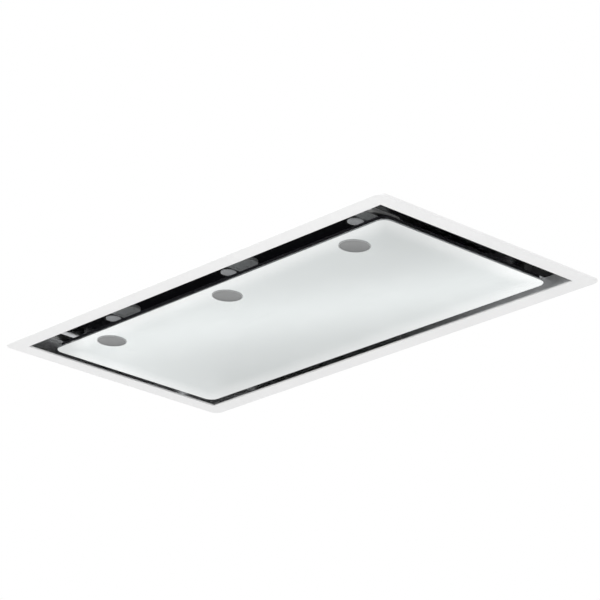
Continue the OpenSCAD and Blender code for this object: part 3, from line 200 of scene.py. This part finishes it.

# %% [markdown]
# ## The light
# One even white world gives the level at which a colour renders as it is written. Metal also
# needs something to reflect, so soft lamps stand near the floor, out of the picture.
# - The key lamp lights the frame from the camera's side. It doesn't show in reflections, because
#   its image would blow out the panel from other sides.
# - The strip, end and side lamps are long and narrow. Their blurred images in the satin panel
#   are its diagonal sheen, and they add to its paler edges, which also have a sheen painted into
#   the panel's colour. A ramp painted on the panel could give the same diagonal sheen, but it
#   would stay put when the eye moves, and a reflection doesn't.
# - The body lamp stands above the ceiling, for looking at the body.
# - A faint lamp inside the recess lights the backs of the downlights, which show as mirror
#   images in the slots. It doesn't show in reflections either.

# %% The world
world = bpy.data.worlds.new("studio")
bpy.context.scene.world = world
world.use_nodes = True
world_tree = world.node_tree
world_tree.nodes["Background"].inputs["Color"].default_value = (1, 1, 1, 1)
world_tree.nodes["Background"].inputs["Strength"].default_value = 1.0
bpy.context.scene.view_settings.view_transform = "Standard"
print("world:", world.name, "colours:", bpy.context.scene.view_settings.view_transform)

# %% A helper for soft lamps
def soft_lamp(name, place, aim, size, level, along):
    """A rectangular lamp at place that shines towards aim. Its face is level times as bright
    as the white world, and its first side lies along the direction along."""
    data = bpy.data.lights.new(name, "AREA")
    data.shape = "RECTANGLE"
    data.size, data.size_y = size
    data.energy = level * math.pi * size[0] * size[1]
    lamp = bpy.data.objects.new(name, data)
    bpy.context.scene.collection.objects.link(lamp)
    shine = (Vector(aim) - Vector(place)).normalized()
    side = Vector(along).normalized() if along else shine.cross(Vector((0, 0, 1))).normalized()
    back = -(shine - side * shine.dot(side)).normalized()
    lamp.matrix_world = Matrix((side, back.cross(side), back)).transposed().to_4x4()
    lamp.location = place
    lamp.visible_camera = False
    return lamp


print("helper ready:", soft_lamp.__name__)

# %% The lamps
hood_middle = (0, 0, 0)
under_recess_top = 0.0215
lamp_rows = [
    # name, place, aim, size, level, direction of the first side
    ("key_lamp", (0.8, -3.0, -2.0), hood_middle, (3.2, 1.1), 5.0, (1, 0, 0)),
    ("strip_lamp", (-3.40, 3.022, -1.8), hood_middle, (2.1, 0.06), 1.2, (0.94, 0.342, 0)),
    ("end_lamp", (-4.49, 3.162, -1.8), hood_middle, (0.55, 0.05), 0.6, (0, 1, 0)),
    ("side_lamp", (-3.229, 2.615, -1.8), hood_middle, (1.09, 0.04), 0.55, (1, 0, 0)),
    ("body_lamp", (1.6, -2.6, 3.0), (0, 0, 0.2), (2.4, 2.4), 1.5, None),
    ("recess_lamp", (0, -0.14, under_recess_top), (0, -0.14, 0), (0.80, 0.1), 0.25, (1, 0, 0)),
]
out_of_reflections = ("key_lamp", "recess_lamp")
for name, place, aim, size, level, along in lamp_rows:
    lamp = soft_lamp(name, place, aim, size, level, along)
    lamp.visible_glossy = name not in out_of_reflections
    print(name, "size in m", size, "level", level, "in reflections", lamp.visible_glossy)

# %% [markdown]
# ## How a finish is built
# Each finish is a Principled shader whose colour, roughness and bump follow a pattern in the
# piece's own coordinates, so that it stays on the piece when the piece moves. Picture textures
# could do this too, but they need unwrapped surfaces and stored files. A noise pattern needs
# neither, and looks as sharp from near as from far.

# %% A new finish
def start_finish(name, colour, metallic=0.0, rough=0.5):
    """A new material, its tree and its shader, with plain values on the sockets."""
    material = bpy.data.materials.new(name)
    material.use_nodes = True
    tree = material.node_tree
    shader = tree.nodes["Principled BSDF"]
    shader.inputs["Base Color"].default_value = (*colour, 1)
    shader.inputs["Metallic"].default_value = metallic
    shader.inputs["Roughness"].default_value = rough
    return material, tree, shader


finishes = {}
print("helper ready:", start_finish.__name__)

# %% Patterns
def pattern(tree, size, detail=3.0, stretch=(1, 1, 1), kind="noise"):
    """A noise or cell pattern whose features are about size metres across."""
    where = add_node(tree, "ShaderNodeTexCoord")
    scale = add_node(tree, "ShaderNodeMapping")
    scale.inputs["Scale"].default_value = stretch
    if kind == "cells":
        made = add_node(tree, "ShaderNodeTexVoronoi", Scale=1 / size)
    else:
        made = add_node(tree, "ShaderNodeTexNoise", Scale=1 / size, Detail=detail)
    join(tree, (where.outputs["Object"], scale.inputs["Vector"]),
         (scale.outputs[0], made.inputs["Vector"]))
    return made.outputs["Color"] if kind == "cells" else made.outputs["Fac"]


noise_low, noise_high = 0.25, 0.75
print("helper ready:", pattern.__name__, "most noise lies between", noise_low, "and", noise_high)

# %% What a pattern can vary
def vary(tree, source, socket, low, high):
    """Drives a value socket from a pattern, between low and high."""
    spread = add_node(tree, "ShaderNodeMapRange", From_Min=noise_low, From_Max=noise_high,
                      To_Min=low, To_Max=high)
    join(tree, (source, spread.inputs["Value"]), (spread.outputs["Result"], socket))


def tint(tree, source, socket, dark, light):
    """Drives a colour socket from a pattern, between two colours."""
    ramp = add_node(tree, "ShaderNodeValToRGB")
    for stop, place, colour in zip(ramp.color_ramp.elements, (0.3, 0.7), (dark, light)):
        stop.position = place
        stop.color = (*colour, 1)
    join(tree, (source, ramp.inputs["Fac"]), (ramp.outputs["Color"], socket))


def relief(tree, shader, source, depth):
    """Bumps the surface by about depth metres, following a pattern."""
    bump = add_node(tree, "ShaderNodeBump", Strength=1.0, Distance=depth)
    join(tree, (source, bump.inputs["Height"]),
         (bump.outputs["Normal"], shader.inputs["Normal"]))


def shade(colour, amount):
    """The same colour, lighter or darker by a share."""
    return tuple(min(1.0, c * (1 + amount)) for c in colour)


print("mid grey, a tenth lighter:", shade((0.5, 0.5, 0.5), 0.1))

# %% [markdown]
# ## Paint on the frame
# The white flange against the ceiling is folded steel with a baked powder coat. The motor and
# the control board are coated too. A coat is even in colour, with a very faint peel like the
# skin of an orange. One flat colour would do from afar, but it looks like cut paper in a close
# view, so tone, gloss and surface each follow a weak noise of their own size.

# %% Baked paint
def baked_paint(name, colour, rough, peel=0.0016, depth=0.00001):
    """Baked paint with the faint peel of a sprayed coat."""
    material, tree, shader = start_finish(name, colour, 0.0, rough)
    tone = shader.inputs["Base Color"]
    tint(tree, pattern(tree, 0.15), tone, shade(colour, -0.015), shade(colour, 0.015))
    vary(tree, pattern(tree, 0.04), shader.inputs["Roughness"], rough - 0.04, rough + 0.04)
    relief(tree, shader, pattern(tree, peel, 1.0), depth)
    return material


for name, colour, rough in (
        ("frame_paint", (0.84, 0.84, 0.84), 0.42),
        ("motor_paint", (0.035, 0.035, 0.038), 0.35),
        ("board_laminate", (0.02, 0.12, 0.04), 0.3)):
    finishes[name] = baked_paint(name, colour, rough)
    print("finish:", name)

# %% [markdown]
# ## The black behind the panel
# The tray that backs the panel is coated deep matt black, so that it can't be seen through the
# slot. Ordinary black paint still throws back a few per cent of the light at a slant, which
# shows as grey in a mirror. So this coat starts as paint, and its specular level is turned down.

# %% Matt black coat
def matt_black_coat(name, colour, rough):
    """Deep matt black coat that throws back almost no light, also at a slant."""
    material = baked_paint(name, colour, rough, 0.0016, 0.000003)
    material.node_tree.nodes["Principled BSDF"].inputs["Specular IOR Level"].default_value = 0.16
    return material


finishes["tray_paint"] = matt_black_coat("tray_paint", (0.008, 0.008, 0.010), 0.7)
print("finish: tray_paint")

# %% [markdown]
# ## The polished recess
# The pan round the panel is polished steel. What shows in the slots is nearly all mirror image:
# the backs of the downlights, the black tray and the floor. In the photo the images are sharp
# in the middle and softer towards the ends, and the walls are hazier than the top.
# Several materials could be laid side by side, but their borders would show. One material is
# used instead, whose roughness follows the place in the pan: a colour ramp along X for the
# walls, and for the top a smooth rise towards both ends.

# %% Haze along the walls
def haze_on_walls(tree, axes, half_x, haze_stops):
    """Roughness that follows haze_stops along X: pairs of place (0 to 1) and roughness."""
    along = add_node(tree, "ShaderNodeMapRange", From_Min=-half_x, From_Max=half_x)
    ramp = add_node(tree, "ShaderNodeValToRGB")
    stops = ramp.color_ramp.elements
    while len(stops) < len(haze_stops):
        stops.new(0.5)
    for stop, (place, haze) in zip(stops, haze_stops):
        stop.position = place
        stop.color = (haze, haze, haze, 1)
    join(tree, (axes.outputs["X"], along.inputs["Value"]),
         (along.outputs["Result"], ramp.inputs["Fac"]))
    return ramp.outputs["Color"]


print("helper ready:", haze_on_walls.__name__)

# %% Haze on the top
def haze_on_top(tree, axes, half_x, rough, end_haze):
    """Roughness that wanders about rough, and rises by end_haze towards both ends in X."""
    uneven = add_node(tree, "ShaderNodeMapRange", From_Min=noise_low, From_Max=noise_high,
                      To_Min=rough * 0.5, To_Max=rough * 1.6)
    away = add_node(tree, "ShaderNodeMath", {"operation": "ABSOLUTE"})
    ends = add_node(tree, "ShaderNodeMapRange", {"interpolation_type": "SMOOTHSTEP"},
                    From_Min=0.7 * half_x, From_Max=0.9 * half_x, To_Min=0.0, To_Max=end_haze)
    total = add_node(tree, "ShaderNodeMath", {"operation": "ADD"})
    join(tree,
         (pattern(tree, 0.05), uneven.inputs["Value"]),
         (axes.outputs["X"], away.inputs[0]),
         (away.outputs[0], ends.inputs["Value"]),
         (uneven.outputs["Result"], total.inputs[0]),
         (ends.outputs["Result"], total.inputs[1]))
    return total.outputs[0]


print("helper ready:", haze_on_top.__name__)

# %% Polished pan
def polished_pan(name, colour, rough, half_x, top, haze_stops, end_haze):
    """Mirror-polished pan, whose top lies above the height top and whose walls lie below it."""
    material, tree, shader = start_finish(name, colour, 1.0, rough)
    where = add_node(tree, "ShaderNodeTexCoord")
    axes = add_node(tree, "ShaderNodeSeparateXYZ")
    wall = add_node(tree, "ShaderNodeMapRange", From_Min=top - 0.001, From_Max=top,
                    To_Min=1.0, To_Max=0.0)
    blend = add_node(tree, "ShaderNodeMix", {"data_type": "FLOAT"})
    join(tree,
         (where.outputs["Object"], axes.inputs[0]),
         (axes.outputs["Z"], wall.inputs["Value"]),
         (wall.outputs["Result"], blend.inputs["Factor"]),
         (haze_on_top(tree, axes, half_x, rough, end_haze), blend.inputs["A"]),
         (haze_on_walls(tree, axes, half_x, haze_stops), blend.inputs["B"]),
         (blend.outputs["Result"], shader.inputs["Roughness"]))
    tone = shader.inputs["Base Color"]
    tint(tree, pattern(tree, 0.12), tone, shade(colour, -0.02), shade(colour, 0.02))
    relief(tree, shader, pattern(tree, 0.12, 1.0), 0.00004)
    return material


recess_half_x = 0.467
wall_haze = ((0.0, 0.26), (0.15, 0.2), (0.5, 0.22), (0.8, 0.52), (1.0, 0.66))
finishes["polished_steel"] = polished_pan(
    "polished_steel", (0.88, 0.89, 0.90), 0.05, recess_half_x, under_recess_top, wall_haze, 0.24)
print("finish: polished_steel, wall haze from left to right", [haze for _, haze in wall_haze])

# %% [markdown]
# ## The satin panel
# The panel is one steel sheet with a satin face, ground along its length. In the photo its
# middle is a little greyer than its rim, and the border between them is soft and uneven. The
# paler rim is a painted sheen in the panel's colour, standing in for the light that its edges
# reflect. A second material for the rim would leave a hard line. Here one colour ramp follows
# the distance to the nearest edge, with a noise added to it so that the border wanders.

# %% How far a point is from the panel's nearest edge
def distance_to_rim(tree, half_x, half_y, middle_y):
    """The output of a node that measures how far inside a rectangle a point lies."""
    where = add_node(tree, "ShaderNodeTexCoord")
    axes = add_node(tree, "ShaderNodeSeparateXYZ")
    join(tree, (where.outputs["Object"], axes.inputs[0]))
    nearest = add_node(tree, "ShaderNodeMath", {"operation": "MINIMUM"})
    for i, (axis, middle, half) in enumerate((("X", 0.0, half_x), ("Y", middle_y, half_y))):
        offset = add_node(tree, "ShaderNodeMath", {"operation": "SUBTRACT"})
        offset.inputs[1].default_value = middle
        size = add_node(tree, "ShaderNodeMath", {"operation": "ABSOLUTE"})
        gap = add_node(tree, "ShaderNodeMath", {"operation": "SUBTRACT"})
        gap.inputs[0].default_value = half
        join(tree, (axes.outputs[axis], offset.inputs[0]), (offset.outputs[0], size.inputs[0]),
             (size.outputs[0], gap.inputs[1]), (gap.outputs[0], nearest.inputs[i]))
    return nearest.outputs[0]


panel_half_x, panel_half_y, panel_middle_y = 0.438, 0.185, 0.0025
print("panel in mm:", 2000 * panel_half_x, "by", 2000 * panel_half_y)

# %% Satin sheet
def satin_panel(name, colour, painted_rim_sheen, rough, rim_sheen_width, wander):
    """Satin sheet, ground along its length, with a painted sheen over rim_sheen_width from its
    edges.
    """
    material, tree, shader = start_finish(name, colour, 1.0, rough)
    inward = add_node(tree, "ShaderNodeMapRange", {"interpolation_type": "SMOOTHSTEP"},
                      From_Min=0.0, From_Max=rim_sheen_width)
    uneven = add_node(tree, "ShaderNodeMapRange", From_Min=0.3, From_Max=0.7,
                      To_Min=-wander, To_Max=wander)
    total = add_node(tree, "ShaderNodeMath", {"operation": "ADD"})
    ramp = add_node(tree, "ShaderNodeValToRGB")
    # The rim's paler colour is a painted sheen, standing in for light caught at the panel's
    # edges.
    ramp.color_ramp.elements[0].color = (*painted_rim_sheen, 1)
    ramp.color_ramp.elements[1].color = (*colour, 1)
    rim_distance = distance_to_rim(tree, panel_half_x, panel_half_y, panel_middle_y)
    join(tree,
         (rim_distance, inward.inputs["Value"]),
         (pattern(tree, 0.09), uneven.inputs["Value"]),
         (inward.outputs["Result"], total.inputs[0]),
         (uneven.outputs["Result"], total.inputs[1]),
         (total.outputs[0], ramp.inputs["Fac"]),
         (ramp.outputs["Color"], shader.inputs["Base Color"]))
    lines = pattern(tree, 0.0008, 2.0, (0.02, 1, 1))
    vary(tree, lines, shader.inputs["Roughness"], rough * 0.85, rough * 1.15)
    relief(tree, shader, lines, 0.0000004)
    return material


# The second colour is the painted sheen along the rim, 0.05 m wide.
finishes["satin_steel"] = satin_panel(
    "satin_steel", (0.700, 0.733, 0.731), (0.866, 0.888, 0.885), 0.11, 0.05, 0.12)
print("finish: satin_steel")

# %% [markdown]
# ## Zinc-coated sheet
# The body above the ceiling is sheet steel dipped in zinc, which sets in flat crystals a few
# millimetres wide. Each crystal lies at its own angle and looks a little lighter or darker than
# the next. Noise has no such borders. A cell pattern has them, so it gives each crystal its own
# tone and roughness. The fan wheel's sheet has finer crystals.

# %% Zinc crystals
def zinc_coated_sheet(name, colour, rough, crystal):
    """Zinc-coated sheet whose crystals are about crystal metres wide."""
    material, tree, shader = start_finish(name, colour, 1.0, rough)
    crystals = pattern(tree, crystal, kind="cells")
    tint(tree, crystals, shader.inputs["Base Color"], shade(colour, -0.09), shade(colour, 0.09))
    vary(tree, crystals, shader.inputs["Roughness"], rough - 0.07, rough + 0.07)
    relief(tree, shader, pattern(tree, 0.03), 0.00003)
    return material


for name, colour, rough, crystal in (
        ("zinc_sheet", (0.62, 0.64, 0.66), 0.42, 0.007),
        ("wheel_steel", (0.58, 0.60, 0.61), 0.38, 0.005)):
    finishes[name] = zinc_coated_sheet(name, colour, rough, crystal)
    print("finish:", name, "crystals in mm", 1000 * crystal)

# %% [markdown]
# ## Plated small parts
# Screws, brackets, springs, hinges and magnets are steel with a thin plated skin, bright but
# slightly cloudy. They are too small for a grain to show, so a soft cloud in tone and a finer
# one in gloss are enough. The arms and their screws are plated dark.

# %% Plated steel
def plated_steel(name, colour, rough):
    """Small steel parts with a plated skin, slightly uneven in tone."""
    material, tree, shader = start_finish(name, colour, 1.0, rough)
    cloud = pattern(tree, 0.006)
    tint(tree, cloud, shader.inputs["Base Color"], shade(colour, -0.08), shade(colour, 0.06))
    vary(tree, pattern(tree, 0.0015), shader.inputs["Roughness"], rough - 0.06, rough + 0.06)
    return material


for name, colour, rough in (
        ("fastener_steel", (0.70, 0.70, 0.67), 0.32),
        ("bracket_steel", (0.66, 0.67, 0.68), 0.38),
        ("spring_steel", (0.60, 0.60, 0.60), 0.3),
        ("hinge_steel", (0.75, 0.75, 0.74), 0.3),
        ("magnet_steel", (0.75, 0.75, 0.76), 0.22),
        ("arm_metal", (0.20, 0.20, 0.20), 0.36),
        ("dark_screw", (0.09, 0.09, 0.09), 0.35)):
    finishes[name] = plated_steel(name, colour, rough)
    print("finish:", name)

# %% [markdown]
# ## Brushed and drawn metal
# The filters' frames and baffles are rolled aluminium, the hub and shaft are turned, and the
# bezels are brushed. All have fine lines in one direction. An anisotropic shader gives the
# stretched gloss but no lines, so a noise is stretched instead: fine across the lines and long
# along them. The backs of the heat sinks are taken as rough cast aluminium that mirrors nothing,
# so they are made as a pale body colour and not as metal.

# %% Brushed metal
def brushed_metal(name, colour, rough, stretch, grain=0.0012, spread=0.05, metallic=1.0):
    """Metal with fine lines along the axis that stretch keeps short."""
    material, tree, shader = start_finish(name, colour, metallic, rough)
    lines = pattern(tree, grain, 2.0, stretch)
    tone = shader.inputs["Base Color"]
    tint(tree, pattern(tree, 0.09), tone, shade(colour, -spread), shade(colour, spread))
    vary(tree, lines, shader.inputs["Roughness"], rough * 0.85, rough * 1.15)
    relief(tree, shader, lines, 0.000004)
    return material


lines_x, lines_y, lines_z = (0.02, 1, 1), (1, 0.02, 1), (1, 1, 0.05)
for name, colour, rough, stretch, more in (
        ("filter_aluminium", (0.80, 0.80, 0.81), 0.34, lines_x, {}),
        ("baffle_aluminium", (0.70, 0.70, 0.71), 0.38, lines_y, {}),
        ("hub_metal", (0.70, 0.70, 0.70), 0.35, lines_z, {}),
        ("shaft_steel", (0.70, 0.70, 0.70), 0.18, lines_z, {}),
        ("bezel_metal", (0.42, 0.43, 0.43), 0.3, lines_x, {"grain": 0.0008}),
        ("sink_aluminium", (0.86, 0.87, 0.88), 0.6, lines_x,
         {"grain": 0.0008, "spread": 0.04, "metallic": 0.0})):
    finishes[name] = brushed_metal(name, colour, rough, stretch, **more)
    print("finish:", name)

# %% [markdown]
# ## Plastic, rubber and foam
# The blower's scroll, the collar, flaps, catches and drivers are moulded. A mould is spark
# eroded, which leaves an even fine grain and takes the gloss off. The rubber bushes and the foam
# seal are made the same way with more roughness, and the foam with a coarser grain. The frosted
# lenses look dark grey while they are off, because the eye meets the black inside the lamp.

# %% Moulded plastic
def moulded_plastic(name, colour, rough, grain=0.0007, depth=0.00002):
    """Plastic from a spark-eroded mould: an even fine grain."""
    material, tree, shader = start_finish(name, colour, 0.0, rough)
    tone = shader.inputs["Base Color"]
    tint(tree, pattern(tree, 0.02), tone, shade(colour, -0.06), shade(colour, 0.06))
    vary(tree, pattern(tree, 0.008), shader.inputs["Roughness"], rough - 0.05, rough + 0.05)
    relief(tree, shader, pattern(tree, grain, 2.0), depth)
    return material


for name, colour, rough, more in (
        ("seal_foam", (0.10, 0.10, 0.10), 0.9, {"grain": 0.0012, "depth": 0.0002}),
        ("bush_rubber", (0.03, 0.03, 0.03), 0.75, {}),
        ("latch_plastic", (0.03, 0.03, 0.03), 0.5, {}),
        ("catch_plastic", (0.02, 0.02, 0.02), 0.45, {}),
        ("inlet_plastic", (0.05, 0.05, 0.055), 0.45, {}),
        ("scroll_plastic", (0.30, 0.31, 0.32), 0.5, {}),
        ("collar_plastic", (0.045, 0.045, 0.045), 0.45, {}),
        ("flap_plastic", (0.11, 0.11, 0.115), 0.5, {}),
        ("gland_plastic", (0.04, 0.04, 0.04), 0.4, {}),
        ("nut_plastic", (0.015, 0.015, 0.015), 0.4, {}),
        ("driver_plastic", (0.38, 0.39, 0.39), 0.5, {}),
        ("capacitor_case", (0.78, 0.78, 0.75), 0.35, {}),
        ("frosted_lens", (0.16, 0.165, 0.165), 0.16, {})):
    finishes[name] = moulded_plastic(name, colour, rough, **more)
    print("finish:", name)

# %% [markdown]
# ## Each piece gets its finish
# The CAD record names a material slot for every piece, the way a parts list names a finish. The
# finishes above carry the slots' names, so they are handed out by name. Doing it by hand would
# take a line for each piece and would miss a piece that is renamed.

# %% Give each node its finish
slots = {row["node"]: row["material_slot"] for row in frame["record"]["subparts"]}
for name, piece in frame["nodes"].items():
    piece.data.materials.clear()
    piece.data.materials.append(finishes[slots[name]])
print("nodes with a finish:", len(slots), "finishes:", len(finishes))

# %% [markdown]
# ## Black pads behind the catches, a painted dark reflection
# In the photo the slot is matt black beside the right catch, where bare polished sheet would
# show a pale floor. What it is can't be seen. A thin black pad on the recess top behind each
# catch paints that dark reflection: it hides the mirror's image of the floor there. The left pad
# is shorter, because the photo keeps a pale patch on that side.
# Each pad is a flat strip. A cube with a bevel could stand for it, but its corners in
# plan and its edge need different radii. So a rounded outline is drawn, extruded and given a
# soft edge by a small bevel.

# %% From a bmesh to a piece
def new_piece(mesh, name, material):
    """An object in the scene made from a bmesh, with one material."""
    data = bpy.data.meshes.new(name)
    mesh.to_mesh(data)
    mesh.free()
    made = bpy.data.objects.new(name, data)
    bpy.context.scene.collection.objects.link(made)
    made.data.materials.append(material)
    return made


print("helper ready:", new_piece.__name__)

# %% A helper for rounded pads
def rounded_pad(name, middle, size, thick, corner, material, body):
    """A flat pad under the height middle[2], with rounded corners and a softened lower edge."""
    steps = 6
    mesh = bmesh.new()
    outline = []
    for i, (sx, sy) in enumerate([(1, 1), (-1, 1), (-1, -1), (1, -1)]):
        for k in range(steps + 1):
            angle = math.radians(90 * i + 90 * k / steps)
            outline.append(mesh.verts.new((
                middle[0] + sx * (size[0] / 2 - corner) + corner * math.cos(angle),
                middle[1] + sy * (size[1] / 2 - corner) + corner * math.sin(angle),
                middle[2])))
    face = mesh.faces.new(outline)
    grown = bmesh.ops.extrude_face_region(mesh, geom=[face])
    lower = [v for v in grown["geom"] if isinstance(v, bmesh.types.BMVert)]
    bmesh.ops.translate(mesh, verts=lower, vec=(0, 0, -thick))
    edges = [e for e in mesh.edges if all(v in lower for v in e.verts)]
    bmesh.ops.bevel(mesh, geom=edges, offset=thick * 0.4, segments=3, affect="EDGES")
    bmesh.ops.recalc_face_normals(mesh, faces=mesh.faces)
    pad = new_piece(mesh, name, material)
    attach(pad, body)
    return pad


print("helper ready:", rounded_pad.__name__)

# %% Make the pads
# The pads' black is a painted dark reflection in the slots, not a part of the hood.
dark_reflection_black = matt_black_coat("dark_reflection_black", (0.006, 0.006, 0.006), 0.8)
pad_width, pad_thick, pad_corner = 0.063, 0.001, 0.003
pad_top, pad_end = 0.02195, 0.216
for side, x, start in (("left", -0.4335, 0.177), ("right", 0.4335, 0.166)):
    length = pad_end - start
    middle = (x, start + length / 2, pad_top)
    pad = rounded_pad("dark_reflection_pad_" + side, middle, (pad_width, length), pad_thick, pad_corner,
                      dark_reflection_black, "root")
    print(pad.name, "faces", len(pad.data.polygons), "length in mm", round(1000 * length, 1))

# %% [markdown]
# ## Wound springs for the latches
# Each filter's latch slides against a small wire spring, which has to shorten as the latch
# comes in. The spring's solid from CAD is hidden, and a finer spring is made in its box: a round
# wire swept along a coil whose last turns lie closed, as on a real one. A curve with a bevel
# could draw the wire, but then the place where the turns open would hang on hand-set points. A
# mesh made ring by ring follows one rule for the rise, and its two ends are capped.

# %% How far a coil has risen
def coil_rise(turn, turns, closed, pitch_closed, pitch_open):
    """The rise after turn turns of a coil whose first and last closed turns lie tight."""
    rise = min(turn, closed) * pitch_closed
    rise += max(0.0, min(turn, turns - closed) - closed) * pitch_open
    rise += max(0.0, turn - (turns - closed)) * pitch_closed
    return rise


coil_turns, closed_turns, closed_pitch = 7, 0.75, 0.00092
closed_rise = coil_rise(closed_turns, coil_turns, closed_turns, closed_pitch, 0.0)
print("rise of one closed end in mm:", round(1000 * closed_rise, 2))

# %% A helper for wound springs
def wound_spring(name, low, high, wire, turns, closed, pitch_closed, finish):
    """A coil along Y that fills the box from low to high, with closed turns at both ends."""
    middle_x, middle_z = (low[0] + high[0]) / 2, (low[2] + high[2]) / 2
    coil_r = (high[0] - low[0]) / 2 - wire
    start = low[1] + wire
    length = high[1] - low[1] - 2 * wire
    pitch_open = (length - 2 * closed * pitch_closed) / (turns - 2 * closed)
    steps, sides = 20, 10
    mesh = bmesh.new()
    rings = []
    for i in range(int(turns * steps) + 1):
        turn = i / steps
        rise = coil_rise(turn, turns, closed, pitch_closed, pitch_open)
        angle = 2 * math.pi * turn
        ring = []
        for k in range(sides):
            round_wire = 2 * math.pi * k / sides
            radius = coil_r + wire * math.cos(round_wire)
            ring.append(mesh.verts.new((
                middle_x + radius * math.cos(angle),
                start + rise + wire * math.sin(round_wire),
                middle_z + radius * math.sin(angle))))
        rings.append(ring)
    for one, two in zip(rings, rings[1:]):
        for k in range(sides):
            mesh.faces.new((one[k], one[(k + 1) % sides], two[(k + 1) % sides], two[k]))
    mesh.faces.new(rings[0])
    mesh.faces.new(rings[-1])
    bmesh.ops.recalc_face_normals(mesh, faces=mesh.faces)
    spring = new_piece(mesh, name, finish)
    for face in spring.data.polygons:
        face.use_smooth = len(face.vertices) == 4
    return spring


print("helper ready:", wound_spring.__name__)

# %% Wind the springs
latch_travel, wire_radius = 0.006, 0.00045
for side in ("left", "middle", "right"):
    node = "latch_spring_" + side
    low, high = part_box(node)
    spring = wound_spring("spring_wire_" + side, low, high, wire_radius, coil_turns,
                          closed_turns, closed_pitch, finishes[slots[node]])
    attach(spring, "root")
    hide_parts(node)
    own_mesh(spring)

# %% Print the size of the dressed hood
low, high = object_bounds()
print("visual box in mm:", [round(1000 * (b - a), 1) for a, b in zip(low, high)])
